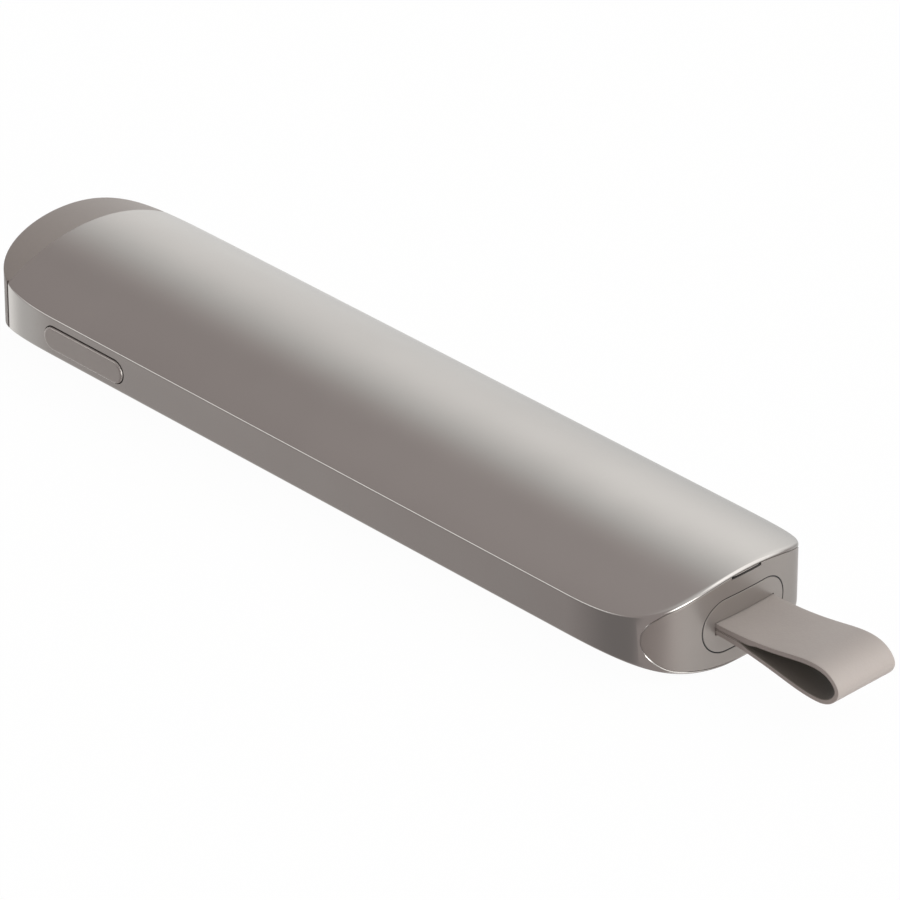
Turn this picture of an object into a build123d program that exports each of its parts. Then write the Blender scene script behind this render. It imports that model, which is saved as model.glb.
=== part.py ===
from build123d import *
import os
from math import asin, hypot, pi, sqrt, tan

os.makedirs("parts", exist_ok=True)

# Slim wireless presentation clicker. X runs along the body from the pointing tip (-X) to the
# strap end (+X), Y runs across it, and Z runs from the button side, which it lies on, to the
# domed back. The origin is the middle of the body on the flat strip that it lies on.
# All sizes are in millimetres.

# ------------------------------------------------------------------ driving sizes: the body
body_length = 125.5
body_width = 30.0
band_height = 5.6  # straight side wall
dome_rise = 4.5  # domed back, above the side wall
belly_depth = 2.85  # bulged button side, below the side wall
rest_land_width = 6.0  # flat strip along the middle of the button side
end_run = 15.8  # length over which each end curves in
end_fullness = 0.834  # reach of the end curve's handles, 1 being a square corner
edge_round = 0.4
housing_wall = 1.1
seam_gap = 0.06  # between two shells that meet flush
glue_gap = 0.05  # between glued inner pieces

# tip cap and its window
tip_cap_length = 5.7
tip_cap_wall = 1.3
window_width = 10.0
window_height = 4.4
window_thickness = 0.9

# laser module, held in a collar of the tip cap
laser_holder_diameter = 6.0
laser_holder_length = 9.0
laser_holder_gap = 0.15  # from the tip cap's end wall
laser_nose_diameter = 2.4  # opening that the beam leaves by
laser_nose_wall = 0.8
laser_lens_diameter = 4.4
laser_lens_thickness = 1.2
laser_can_diameter = 3.3
laser_can_length = 3.2
laser_flange_thickness = 0.6
laser_pin_diameter = 0.4
laser_pin_circle = 2.0
collar_wall = 0.7
collar_length = 3.0
laser_board_size = 5.6
laser_board_thickness = 0.6

# front cover and the three buttons in it
cover_wall = 1.1
pointer_button_diameter = 11.5
pointer_button_from_tip = 18.75
next_button_length = 17.0
next_button_width = 14.5
next_button_corner = 6.0
next_button_from_tip = 36.25
back_button_length = 8.0
back_button_width = 14.5
back_button_corner = 3.4
back_button_from_tip = 51.25
button_gap = 0.15  # all round each button
button_recess = 0.25  # below the button side's surface
button_edge_round = 0.3
button_lip = 0.7  # flange that holds the button in
flange_thickness = 0.6
seat_margin = 0.5
seat_step = 0.1
button_play = 0.05
button_travel = 0.4
dish_radius = 34.0
dish_depth = 0.45

# side button
side_button_length = 15.1
side_button_height = 3.3
side_button_from_tip = 21.75
side_button_drop = 0.15  # below the middle of the side wall
side_button_proud = 0.25
side_button_round = 0.2
side_button_gap = 0.12
side_button_ear = 1.2
side_flange_corner = 0.825
side_button_play = 0.1
side_button_travel = 0.35

# switches
switch_size = 4.2
switch_height = 1.3
switch_corner = 0.3
switch_standoff = 1.0  # from a button's flange to its switch
stem_diameter = 2.0
stem_in_switch = 0.35
stem_gap = 0.06
side_switch_length = 6.8
side_switch_depth = 3.2
side_switch_height = 2.2
side_switch_standoff = 1.3
side_stem_diameter = 1.2

# circuit board and what stands on it
board_thickness = 0.8
board_width = 22.0
board_from_tip = 12.75
board_end_gap = 0.25
notch_gap = 0.15
motor_diameter = 8.0
motor_height = 2.7
motor_edge_round = 0.3375
motor_from_tip = 31.75
shield_length = 12.0
shield_width = 10.0
shield_height = 1.6
shield_wall = 0.2
shield_from_tip = 44.0
radio_chip_size = 5.0
radio_chip_height = 0.9
power_chip_size = 3.0
power_chip_height = 0.8
power_chip_from_tip = 53.0
antenna_thickness = 0.3
antenna_width = 4.0
antenna_length = 7.0
antenna_height = 2.9
antenna_y = 7.0
battery_width = 17.0
battery_height = 4.0
battery_corner = 1.2
battery_gap = 0.8  # to the charge socket
battery_front_gap = 9.65  # to the power chip, with room for the tabs
battery_pad_thickness = 0.3
battery_tab_width = 1.6
battery_tab_thickness = 0.15
battery_tab_foot = 2.0
battery_tab_height = 1.8
battery_tab_y = 5.0

# screws that hold the board to the back housing
screw_from_middle = 9.3
screw_front_from_tip = 31.75
screw_rear_gap = 3.2  # from the battery's end to the rear screws
screw_diameter = 1.6
screw_length = 3.6
screw_head_diameter = 2.9
screw_head_height = 0.8
screw_slot_width = 0.5
screw_slot_share = 2 / 3  # of the head's width
screw_slot_depth = 0.4
screw_hole_gap = 0.1
thread_gap = 0.02
boss_wall = 0.9
boss_hole_spare = 0.3

# middle frame
rail_width = 1.3
rail_gap = 0.1
rail_from_tip = 17.5
crossbar_width = 2.0
crossbar_height = 0.9
crossbars_from_tip = (59.0, 78.0)
last_crossbar_from_pocket = 10.25

# receiver, its pocket and the charge socket at the pocket's end
receiver_z = 6.05
receiver_length = 19.0
receiver_cap_width = 13.8
receiver_cap_height = 7.2
receiver_cap_depth = 6.6
pocket_gap = 0.1
pocket_end_gap = 0.25
sleeve_wall = 0.6
sleeve_end_wall = 0.8
plug_shell_width = 12.0
plug_shell_height = 4.5
plug_shell_wall = 0.3
plug_shell_in_cap = 1.0
plug_tongue_height = 1.3
plug_tongue_recess = 0.3
contact_length = 6.5
contact_width = 1.0
contact_height = 0.2
contact_pitch = 2.3
contact_count = 4
receiver_board_thickness = 0.6
spring_thickness = 0.15
spring_width = 6.0
spring_half_length = 4.0
spring_gap = 0.04
socket_length = 7.3
socket_width = 8.94
socket_height = 3.26
socket_wall = 0.3
socket_back_wall = 1.2
socket_wing = 1.4
socket_wing_thickness = 0.3
charge_tongue_width = 6.7
charge_tongue_height = 0.7
charge_tongue_length = 4.5

# tail plate, with its status light
plate_rim = 0.5  # rim of the housing left above and below the plate
plate_side_rim = 1.4
plate_corner = 4.3
plate_side_share = 0.95  # most of the plate's side that its two corners may take
light_width = 4.9
light_height = 0.5
light_below_top = 0.96
light_gap = 0.04
light_recess = 0.06
light_bend = 1.2  # length of the light pipe behind the plate
led_length = 1.6
led_width = 0.8
led_height = 0.6
led_gap = 0.1
flex_thickness = 0.12
flex_width = 5.0
flex_leg_y = 6.6
flex_leg_width = 2.0
flex_leg_gap = 0.4
flex_neck_width = 1.0

# wrist strap, a flat band whose two ends lie on each other in the receiver's cap
strap_thickness = 0.78
strap_width = 9.8
strap_side_gap = 0.12
strap_slot_gap = 0.04
strap_pin_diameter = 1.2
strap_pin_gap = 0.02
strap_pin_from_face = 3.7
strap_pin_end_gap = 0.4
# outside of the loop, as (distance beyond the tail, height above the slot's middle)
strap_loop = [
    (7.45, 1.21),
    (11.65, 1.81),
    (15.4, 2.2),
    (18.55, 1.4),
    (19.7, -0.1),
    (18.3, -2.2),
    (15.6, -2.74),
    (9.7, -1.98),
    (5.2, -1.24),
]
loop_ends = (0.13, 0.90)  # shares of the band's way round between which its layers are apart
loop_steps = 16

# ------------------------------------------------------------------ worked-out places
half_length = body_length / 2
half_width = body_width / 2
tip_x = -half_length
tail_x = half_length
straight_half = half_length - end_run
body_height = belly_depth + band_height + dome_rise
over = 2.0  # how far a cutting shape runs past what it cuts

dome_radius = (half_width**2 + dome_rise**2) / (2 * dome_rise)
dome_centre_z = body_height - dome_radius
land_half = rest_land_width / 2
belly_centre_z = (half_width**2 - land_half**2 + belly_depth**2) / (2 * belly_depth)
belly_radius = hypot(land_half, belly_centre_z)


def dome_z(y, inset=0.0):
    """Height of the domed back at y, drawn in by inset."""
    return dome_centre_z + sqrt((dome_radius - inset) ** 2 - y**2)


def belly_z(y, inset=0.0):
    """Height of the button side's bulge at y, drawn in by inset."""
    return belly_centre_z - sqrt((belly_radius - inset) ** 2 - y**2)


seam_x = tip_x + tip_cap_length
optics_z = body_height / 2
inner_wall_y = half_width - housing_wall
inner_tail_x = tail_x - housing_wall

pointer_x = tip_x + pointer_button_from_tip
next_x = tip_x + next_button_from_tip
back_x = tip_x + back_button_from_tip
widest_button = max(pointer_button_diameter, next_button_width, back_button_width)
seat_z = belly_z(widest_button / 2 + button_lip + seat_margin, cover_wall) + seat_step
flange_z = seat_z + button_play
flange_top = flange_z + flange_thickness
switch_z = flange_top + switch_standoff
board_z = switch_z + switch_height
board_top = board_z + board_thickness

side_button_x = tip_x + side_button_from_tip
side_button_z = belly_depth + band_height / 2 - side_button_drop
side_flange_y = -(inner_wall_y - side_button_play - flange_thickness)
side_switch_y = side_flange_y + side_switch_standoff
side_switch_back_y = side_switch_y + side_switch_depth

pocket_x = tail_x - receiver_length - pocket_end_gap
socket_x = pocket_x - socket_length
board_x0 = tip_x + board_from_tip
board_x1 = pocket_x - sleeve_end_wall - board_end_gap
battery_x1 = socket_x - battery_gap
power_chip_x = tip_x + power_chip_from_tip
battery_x0 = power_chip_x + power_chip_size / 2 + battery_front_gap
battery_z = board_top + battery_pad_thickness
screw_places = [
    (x, side * screw_from_middle)
    for x in (tip_x + screw_front_from_tip, battery_x1 + screw_rear_gap)
    for side in (-1, 1)
]

sleeve_width = receiver_cap_width + 2 * (pocket_gap + sleeve_wall)
sleeve_height = receiver_cap_height + 2 * (pocket_gap + sleeve_wall)
sleeve_top = receiver_z + sleeve_height / 2
light_z = body_height - light_below_top
cap_x0 = tail_x - receiver_cap_depth
shell_x0 = tail_x - receiver_length
shell_x1 = cap_x0 + plug_shell_in_cap
pin_x = tail_x - strap_pin_from_face
pin_bore = strap_pin_diameter / 2 + strap_pin_gap


# ------------------------------------------------------------------ shapes used by several pieces
def plan_block(inset, low, high):
    """Straight-walled block of the body's outline, drawn in by inset, from low to high."""
    half_w = half_width - inset
    run = end_run - inset
    with BuildPart() as block:
        with BuildSketch(Plane.XY.offset(low)):
            with BuildLine():
                for side in (-1, 1):
                    Line((-straight_half, side * half_w), (straight_half, side * half_w))
                    for end in (-1, 1):
                        Bezier(
                            (end * straight_half, side * half_w),
                            (end * (straight_half + end_fullness * run), side * half_w),
                            (end * (straight_half + run), side * end_fullness * half_w),
                            (end * (straight_half + run), 0),
                        )
            make_face()
        extrude(amount=high - low)
    return block.part


def section_block(inset_top, inset_bottom, land=False):
    """Bar over the whole length, between the dome and the bulge, each drawn in by its inset."""
    half_w = half_width
    top_z = dome_z(half_w, inset_top) if inset_top < dome_radius - half_w else dome_centre_z
    low_z = belly_z(half_w, inset_bottom)
    with BuildPart() as bar:
        with BuildSketch(Plane.YZ):
            with BuildLine():
                ThreePointArc((-half_w, top_z), (0, dome_z(0, inset_top)), (half_w, top_z))
                for side in (-1, 1):
                    Line((side * half_w, top_z), (side * half_w, low_z))
                if land:
                    mid_y = (half_w + land_half) / 2
                    for side in (-1, 1):
                        ThreePointArc(
                            (side * half_w, low_z),
                            (side * mid_y, belly_z(mid_y, inset_bottom)),
                            (side * land_half, belly_z(land_half, inset_bottom)),
                        )
                    Line((-land_half, 0), (land_half, 0))
                else:
                    ThreePointArc((-half_w, low_z), (0, belly_z(0, inset_bottom)), (half_w, low_z))
            make_face()
        extrude(amount=half_length + over, both=True)
    return bar.part


def stadium_bar(width, height, x0, x1, z):
    """Bar along X with a stadium section, width across Y and height in Z."""
    with BuildPart() as bar:
        with BuildSketch(Plane.YZ.offset(x0)):
            with Locations((0, z)):
                SlotOverall(width, height)
        extrude(amount=x1 - x0)
    return bar.part


def box_between(x0, x1, y0, y1, z0, z1):
    """Box between two values on each axis."""
    with BuildPart() as block:
        with Locations(((x0 + x1) / 2, (y0 + y1) / 2, (z0 + z1) / 2)):
            Box(x1 - x0, y1 - y0, z1 - z0)
    return block.part


def button_bar(shape, grow, z0, z1):
    """Straight bar in the outline of one of the three buttons, grown all round."""
    with BuildPart() as bar:
        with BuildSketch(Plane.XY.offset(z0)):
            if shape == "pointer":
                with Locations((pointer_x, 0)):
                    Circle(pointer_button_diameter / 2 + grow)
            elif shape == "next":
                with Locations((next_x, 0)):
                    RectangleRounded(
                        next_button_length + 2 * grow,
                        next_button_width + 2 * grow,
                        next_button_corner + grow,
                    )
            else:
                with Locations((back_x, 0)):
                    RectangleRounded(
                        back_button_length + 2 * grow,
                        back_button_width + 2 * grow,
                        back_button_corner + grow,
                    )
        extrude(amount=z1 - z0)
    return bar.part


def side_pill(grow, y0, y1):
    """Bar across the side wall in the outline of the side button, grown all round."""
    with BuildPart() as bar:
        with BuildSketch(Plane.XZ.offset(-y1)):
            with Locations((side_button_x, side_button_z)):
                SlotOverall(side_button_length + 2 * grow, side_button_height + 2 * grow)
        extrude(amount=y1 - y0)
    return bar.part


high_z = body_height + over
with BuildPart() as body_block:
    add(plan_block(0.0, -over, high_z))
    add(section_block(0.0, 0.0, land=True), mode=Mode.INTERSECT)
    land_lines = body_block.edges().filter_by(Axis.X).sort_by(Axis.Z)[:2]
    rims = [e for e in body_block.edges().filter_by(Axis.Z, reverse=True) if e not in land_lines]
    fillet(rims, radius=edge_round)

# everything inside the back housing's walls, open below
housing_space = plan_block(housing_wall, -over, high_z)
with BuildPart() as housing_cavity:
    add(housing_space)
    add(section_block(housing_wall, -body_height), mode=Mode.INTERSECT)


def plate_bar(grow):
    """Bar along X in the tail plate's outline, grown all round."""
    half_w = half_width - plate_side_rim + grow
    rim = plate_rim - grow
    with BuildPart() as bar:
        with BuildSketch(Plane.YZ.offset(straight_half)):
            with BuildLine():
                top_z, low_z = dome_z(half_w, rim), belly_z(half_w, rim)
                ThreePointArc((-half_w, top_z), (0, dome_z(0, rim)), (half_w, top_z))
                ThreePointArc((-half_w, low_z), (0, belly_z(0, rim)), (half_w, low_z))
                for side in (-1, 1):
                    Line((side * half_w, top_z), (side * half_w, low_z))
            face = make_face()
            # the corners of one side take this many times their radius of its length
            top_turn = tan((pi / 2 - asin(half_w / (dome_radius - rim))) / 2)
            low_turn = tan((pi / 2 - asin(half_w / (belly_radius - rim))) / 2)
            most = plate_side_share * (top_z - low_z) / (top_turn + low_turn)
            fillet(face.vertices(), radius=min(plate_corner + grow, most))
        extrude(amount=end_run + over)
    return bar.part


# ------------------------------------------------------------------ casings
with BuildPart() as back_housing:
    add(body_block.part)
    add(housing_cavity.part, mode=Mode.SUBTRACT)
    split(bisect_by=Plane.YZ.offset(seam_x), keep=Keep.TOP)
    # bosses for the board's screws, from the board up into the dome
    with BuildSketch(Plane.XY.offset(board_top)):
        with Locations(*screw_places):
            Circle(screw_diameter / 2 + thread_gap + boss_wall)
    extrude(amount=dome_z(screw_from_middle, housing_wall / 2) - board_top)
    with BuildSketch(Plane.XY.offset(board_top)):
        with Locations(*screw_places):
            Circle(screw_diameter / 2 + thread_gap)
    extrude(amount=screw_length - board_thickness + boss_hole_spare, mode=Mode.SUBTRACT)
    # opening for the tail plate, through the end wall only
    opening = plate_bar(seam_gap) - housing_space
    add(opening, mode=Mode.SUBTRACT)
    # room for the light pipe's bend under the dome
    add(
        box_between(
            inner_tail_x - light_bend - light_gap,
            inner_tail_x + seam_gap,
            -(light_width / 2 + light_gap),
            light_width / 2 + light_gap,
            dome_z(light_width / 2, housing_wall) - over,
            light_z + light_height / 2 + light_gap,
        ),
        mode=Mode.SUBTRACT,
    )
    add(side_pill(side_button_gap, -half_width - over, -inner_wall_y + over), mode=Mode.SUBTRACT)
back_housing.part.label = "back_housing"

with BuildPart() as front_cover:
    add(plan_block(housing_wall + seam_gap, -over, high_z))
    add(section_block(0.0, 0.0, land=True), mode=Mode.INTERSECT)
    add(section_block(-over, cover_wall), mode=Mode.SUBTRACT)
    split(bisect_by=Plane.YZ.offset(seam_x + seam_gap), keep=Keep.TOP)
    for shape in ("pointer", "next", "back"):
        seat = button_bar(shape, button_lip + seat_margin, -over, seat_z)
        add(seat & section_block(0.0, 0.0, land=True))
    for shape in ("pointer", "next", "back"):
        add(button_bar(shape, button_gap, -over, seat_z + over), mode=Mode.SUBTRACT)
front_cover.part.label = "front_cover"

with BuildPart() as tip_cap:
    add(body_block.part)
    split(bisect_by=Plane.YZ.offset(seam_x - seam_gap), keep=Keep.BOTTOM)
    cap_space = plan_block(tip_cap_wall, -over, high_z) & section_block(tip_cap_wall, tip_cap_wall)
    add(cap_space, mode=Mode.SUBTRACT)
    collar_x = tip_x + tip_cap_wall
    with BuildSketch(Plane.YZ.offset(collar_x - glue_gap)):
        with Locations((0, optics_z)):
            Circle(laser_holder_diameter / 2 + glue_gap + collar_wall)
    extrude(amount=collar_length + glue_gap)
    with BuildSketch(Plane.YZ.offset(collar_x)):
        with Locations((0, optics_z)):
            Circle(laser_holder_diameter / 2 + glue_gap)
    extrude(amount=collar_length + over, mode=Mode.SUBTRACT)
    add(
        stadium_bar(window_width, window_height, tip_x - over, collar_x + over / 2, optics_z),
        mode=Mode.SUBTRACT,
    )
tip_cap.part.label = "tip_cap"

with BuildPart() as tip_window:
    add(body_block.part)
    add(
        stadium_bar(
            window_width - 2 * glue_gap,
            window_height - 2 * glue_gap,
            tip_x - over,
            tip_x + window_thickness,
            optics_z,
        ),
        mode=Mode.INTERSECT,
    )
tip_window.part.label = "tip_window"

with BuildPart() as tail_plate:
    add(body_block.part)
    add(plate_bar(0.0), mode=Mode.INTERSECT)
    add(housing_space, mode=Mode.SUBTRACT)
    pocket_bar = stadium_bar(
        receiver_cap_width + 2 * pocket_gap,
        receiver_cap_height + 2 * pocket_gap,
        inner_tail_x - over,
        tail_x + over,
        receiver_z,
    )
    add(pocket_bar, mode=Mode.SUBTRACT)
    with BuildSketch(Plane.YZ.offset(inner_tail_x - over)):
        with Locations((0, light_z)):
            Rectangle(light_width, light_height)
    extrude(amount=housing_wall + 2 * over, mode=Mode.SUBTRACT)
tail_plate.part.label = "tail_plate"

# ------------------------------------------------------------------ laser module
laser_x0 = tip_x + tip_cap_wall + laser_holder_gap
laser_x1 = laser_x0 + laser_holder_length
lens_x0 = laser_x0 + laser_nose_wall
can_x1 = laser_x1 - laser_flange_thickness
with BuildPart() as laser_holder:
    with BuildSketch(Plane.YZ.offset(laser_x0)):
        with Locations((0, optics_z)):
            Circle(laser_holder_diameter / 2)
            Circle(laser_nose_diameter / 2, mode=Mode.SUBTRACT)
    extrude(amount=laser_holder_length)
    with BuildSketch(Plane.YZ.offset(lens_x0)):
        with Locations((0, optics_z)):
            Circle(laser_lens_diameter / 2 + glue_gap)
    extrude(amount=laser_holder_length, mode=Mode.SUBTRACT)
laser_holder.part.label = "laser_holder"

with BuildPart() as laser_lens:
    with BuildSketch(Plane.YZ.offset(lens_x0)):
        with Locations((0, optics_z)):
            Circle(laser_lens_diameter / 2)
    extrude(amount=laser_lens_thickness)
    fillet(laser_lens.edges().sort_by(Axis.X)[-1], radius=laser_lens_thickness / 2)
laser_lens.part.label = "laser_lens"

laser_board_x = laser_x1 + laser_holder_gap
with BuildPart() as laser_diode:
    with BuildSketch(Plane.YZ.offset(can_x1 - laser_can_length)):
        with Locations((0, optics_z)):
            Circle(laser_can_diameter / 2)
    extrude(amount=laser_can_length)
    with BuildSketch(Plane.YZ.offset(can_x1)):
        with Locations((0, optics_z)):
            Circle(laser_lens_diameter / 2)
    extrude(amount=laser_flange_thickness)
    with BuildSketch(Plane.YZ.offset(laser_x1)):
        with Locations((0, optics_z)):
            with PolarLocations(laser_pin_circle / 2, 3):
                Circle(laser_pin_diameter / 2)
    extrude(amount=laser_holder_gap + laser_board_thickness)
laser_diode.part.label = "laser_diode"

with BuildPart() as laser_board:
    with BuildSketch(Plane.YZ.offset(laser_board_x)):
        with Locations((0, optics_z)):
            Rectangle(laser_board_size, laser_board_size)
            with PolarLocations(laser_pin_circle / 2, 3):
                Circle(laser_pin_diameter / 2 + thread_gap, mode=Mode.SUBTRACT)
    extrude(amount=laser_board_thickness)
laser_board.part.label = "laser_board"

# ------------------------------------------------------------------ the three buttons
def face_button(shape):
    """Button cap with its flange, flush in the button side less the recess."""
    with BuildPart() as button:
        add(button_bar(shape, 0.0, -over, flange_z + flange_thickness / 2))
        add(section_block(-over, button_recess), mode=Mode.INTERSECT)
        rim = button.edges().filter_by(lambda e: e.center().Z < seat_z - button_edge_round)
        fillet(rim.filter_by(Axis.Z, reverse=True), radius=button_edge_round)
        add(button_bar(shape, button_lip, flange_z, flange_top))
    return button.part


dish_z = button_recess + belly_z(0) + dish_depth - dish_radius
with BuildPart() as dish:
    with Locations((next_x, 0, dish_z)):
        Sphere(dish_radius)

with BuildPart() as pointer_button:
    add(face_button("pointer"))
pointer_button.part.label = "pointer_button"

with BuildPart() as next_button:
    add(face_button("next"))
    add(dish.part, mode=Mode.SUBTRACT)
next_button.part.label = "next_button"

with BuildPart() as back_button:
    add(face_button("back"))
back_button.part.label = "back_button"


def stem_at(x):
    """Switch stem under a button's flange, reaching into its switch."""
    with BuildPart() as stem:
        with BuildSketch(Plane.XY.offset(flange_top)):
            with Locations((x, 0)):
                Circle(stem_diameter / 2)
        extrude(amount=switch_standoff + stem_in_switch)
    return stem.part


with BuildPart() as pointer_stem:
    add(stem_at(pointer_x))
pointer_stem.part.label = "pointer_stem"

with BuildPart() as next_stem:
    add(stem_at(next_x))
next_stem.part.label = "next_stem"

with BuildPart() as back_stem:
    add(stem_at(back_x))
back_stem.part.label = "back_stem"

with BuildPart() as button_switches:
    with BuildSketch(Plane.XY.offset(switch_z)):
        with Locations((pointer_x, 0), (next_x, 0), (back_x, 0)):
            RectangleRounded(switch_size, switch_size, switch_corner)
    extrude(amount=switch_height)
    with BuildSketch(Plane.XY.offset(switch_z)):
        with Locations((pointer_x, 0), (next_x, 0), (back_x, 0)):
            Circle(stem_diameter / 2 + stem_gap)
    extrude(amount=stem_in_switch + button_travel + stem_gap, mode=Mode.SUBTRACT)
button_switches.part.label = "button_switches"

# ------------------------------------------------------------------ side button
with BuildPart() as side_button:
    add(side_pill(0.0, -half_width - side_button_proud, side_flange_y - flange_thickness / 2))
    outer_rim = side_button.edges().group_by(Axis.Y)[0]
    fillet(outer_rim, radius=side_button_round)
    with BuildSketch(Plane.XZ.offset(-side_flange_y)):
        with Locations((side_button_x, side_button_z)):
            RectangleRounded(
                side_button_length + 2 * side_button_ear,
                side_button_height,
                side_flange_corner,
            )
    extrude(amount=flange_thickness)
side_button.part.label = "side_button"

with BuildPart() as side_stem:
    with BuildSketch(Plane.XZ.offset(-(side_switch_y + stem_in_switch))):
        with Locations((side_button_x, side_button_z)):
            Circle(side_stem_diameter / 2)
    extrude(amount=side_switch_standoff + stem_in_switch)
side_stem.part.label = "side_stem"

with BuildPart() as side_switch:
    add(
        box_between(
            side_button_x - side_switch_length / 2,
            side_button_x + side_switch_length / 2,
            side_switch_y,
            side_switch_back_y,
            side_button_z - side_switch_height / 2,
            side_button_z + side_switch_height / 2,
        )
    )
    with BuildSketch(Plane.XZ.offset(-side_switch_y)):
        with Locations((side_button_x, side_button_z)):
            Circle(side_stem_diameter / 2 + stem_gap)
    extrude(amount=-(stem_in_switch + side_button_travel + stem_gap), mode=Mode.SUBTRACT)
side_switch.part.label = "side_switch"

# ------------------------------------------------------------------ circuit board and what stands on it
half_board = board_width / 2
with BuildPart() as main_board:
    add(box_between(board_x0, board_x1, -half_board, half_board, board_z, board_top))
    add(
        box_between(
            side_button_x - side_switch_length / 2 - notch_gap,
            side_button_x + side_switch_length / 2 + notch_gap,
            -half_board - over,
            side_switch_back_y,
            board_z - over,
            board_top + over,
        ),
        mode=Mode.SUBTRACT,
    )
    add(
        box_between(
            socket_x,
            board_x1 + over,
            -socket_width / 2 - notch_gap,
            socket_width / 2 + notch_gap,
            board_z - over,
            board_top + over,
        ),
        mode=Mode.SUBTRACT,
    )
    with BuildSketch(Plane.XY.offset(board_z)):
        with Locations(*screw_places):
            Circle(screw_diameter / 2 + screw_hole_gap)
    extrude(amount=board_thickness, mode=Mode.SUBTRACT)
main_board.part.label = "main_board"

with BuildPart() as board_screws:
    with BuildSketch(Plane.XY.offset(board_z - screw_head_height)):
        with Locations(*screw_places):
            Circle(screw_head_diameter / 2)
    extrude(amount=screw_head_height)
    with BuildSketch(Plane.XY.offset(board_z)):
        with Locations(*screw_places):
            Circle(screw_diameter / 2)
    extrude(amount=screw_length)
    with BuildSketch(Plane.XY.offset(board_z - screw_head_height)):
        with Locations(*screw_places):
            for turn in (0, 90):
                Rectangle(screw_slot_share * screw_head_diameter, screw_slot_width, rotation=turn)
    extrude(amount=screw_slot_depth, mode=Mode.SUBTRACT)
board_screws.part.label = "board_screws"

shield_x = tip_x + shield_from_tip
with BuildPart() as radio_chip:
    with BuildSketch(Plane.XY.offset(board_top)):
        with Locations((shield_x, 0)):
            Rectangle(radio_chip_size, radio_chip_size)
    extrude(amount=radio_chip_height)
radio_chip.part.label = "radio_chip"

with BuildPart() as radio_shield:
    with BuildSketch(Plane.XY.offset(board_top)):
        with Locations((shield_x, 0)):
            Rectangle(shield_length, shield_width)
    extrude(amount=shield_height)
    with BuildSketch(Plane.XY.offset(board_top)):
        with Locations((shield_x, 0)):
            Rectangle(shield_length - 2 * shield_wall, shield_width - 2 * shield_wall)
    extrude(amount=shield_height - shield_wall, mode=Mode.SUBTRACT)
radio_shield.part.label = "radio_shield"

with BuildPart() as power_chip:
    with BuildSketch(Plane.XY.offset(board_top)):
        with Locations((power_chip_x, 0)):
            Rectangle(power_chip_size, power_chip_size)
    extrude(amount=power_chip_height)
power_chip.part.label = "power_chip"

with BuildPart() as vibration_motor:
    with BuildSketch(Plane.XY.offset(board_top)):
        with Locations((tip_x + motor_from_tip, 0)):
            Circle(motor_diameter / 2)
    extrude(amount=motor_height)
    fillet(vibration_motor.edges().sort_by(Axis.Z)[-1], radius=motor_edge_round)
vibration_motor.part.label = "vibration_motor"

with BuildPart() as antenna:
    strip_z = board_top + antenna_height
    y0, y1 = antenna_y - antenna_width / 2, antenna_y + antenna_width / 2
    add(box_between(board_x0 - antenna_length, board_x0, y0, y1, strip_z - antenna_thickness, strip_z))
    add(box_between(board_x0, board_x0 + antenna_thickness, y0, y1, board_top, strip_z))
antenna.part.label = "antenna"

with BuildPart() as battery_pad:
    pad_half = battery_width / 2 - battery_corner
    add(box_between(battery_x0, battery_x1, -pad_half, pad_half, board_top, battery_z))
battery_pad.part.label = "battery_pad"

with BuildPart() as battery:
    half_cell = battery_width / 2
    add(box_between(battery_x0, battery_x1, -half_cell, half_cell, battery_z, battery_z + battery_height))
    fillet(battery.edges().filter_by(Axis.X), radius=battery_corner)
battery.part.label = "battery"

with BuildPart() as battery_tabs:
    tab_z = battery_z + battery_tab_height
    for side in (-1, 1):
        y0 = side * battery_tab_y - battery_tab_width / 2
        y1 = side * battery_tab_y + battery_tab_width / 2
        foot_x = battery_x0 - battery_tab_foot
        add(box_between(foot_x, battery_x0, y0, y1, board_top, board_top + battery_tab_thickness))
        add(box_between(battery_x0 - battery_tab_thickness, battery_x0, y0, y1, board_top, tab_z))
battery_tabs.part.label = "battery_tabs"

# ------------------------------------------------------------------ middle frame
rail_inset = housing_wall + glue_gap
rail_z = belly_z(inner_wall_y, cover_wall) + rail_gap
rail_x0 = tip_x + rail_from_tip
bar_half = inner_wall_y - glue_gap - rail_width / 2
with BuildPart() as middle_frame:
    add(plan_block(rail_inset, rail_z, board_z))
    add(plan_block(rail_inset + rail_width, rail_z - over, board_z + over), mode=Mode.SUBTRACT)
    add(
        box_between(tip_x - over, rail_x0, -half_width, half_width, 0, body_height),
        mode=Mode.SUBTRACT,
    )
    add(
        box_between(pocket_x, tail_x + over, -half_width, half_width, 0, body_height),
        mode=Mode.SUBTRACT,
    )
    side_room = side_button_length / 2 + side_button_ear + rail_gap
    add(
        box_between(rail_x0 - over, side_button_x + side_room, -half_width, 0, 0, body_height),
        mode=Mode.SUBTRACT,
    )
    half_bar = crossbar_width / 2
    front_bars = [tip_x + from_tip for from_tip in crossbars_from_tip]
    for bar_x in (*front_bars, pocket_x - last_crossbar_from_pocket):
        add(
            box_between(
                bar_x - half_bar, bar_x + half_bar, -bar_half, bar_half, board_z - crossbar_height, board_z
            )
        )
middle_frame.part.label = "middle_frame"

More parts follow.
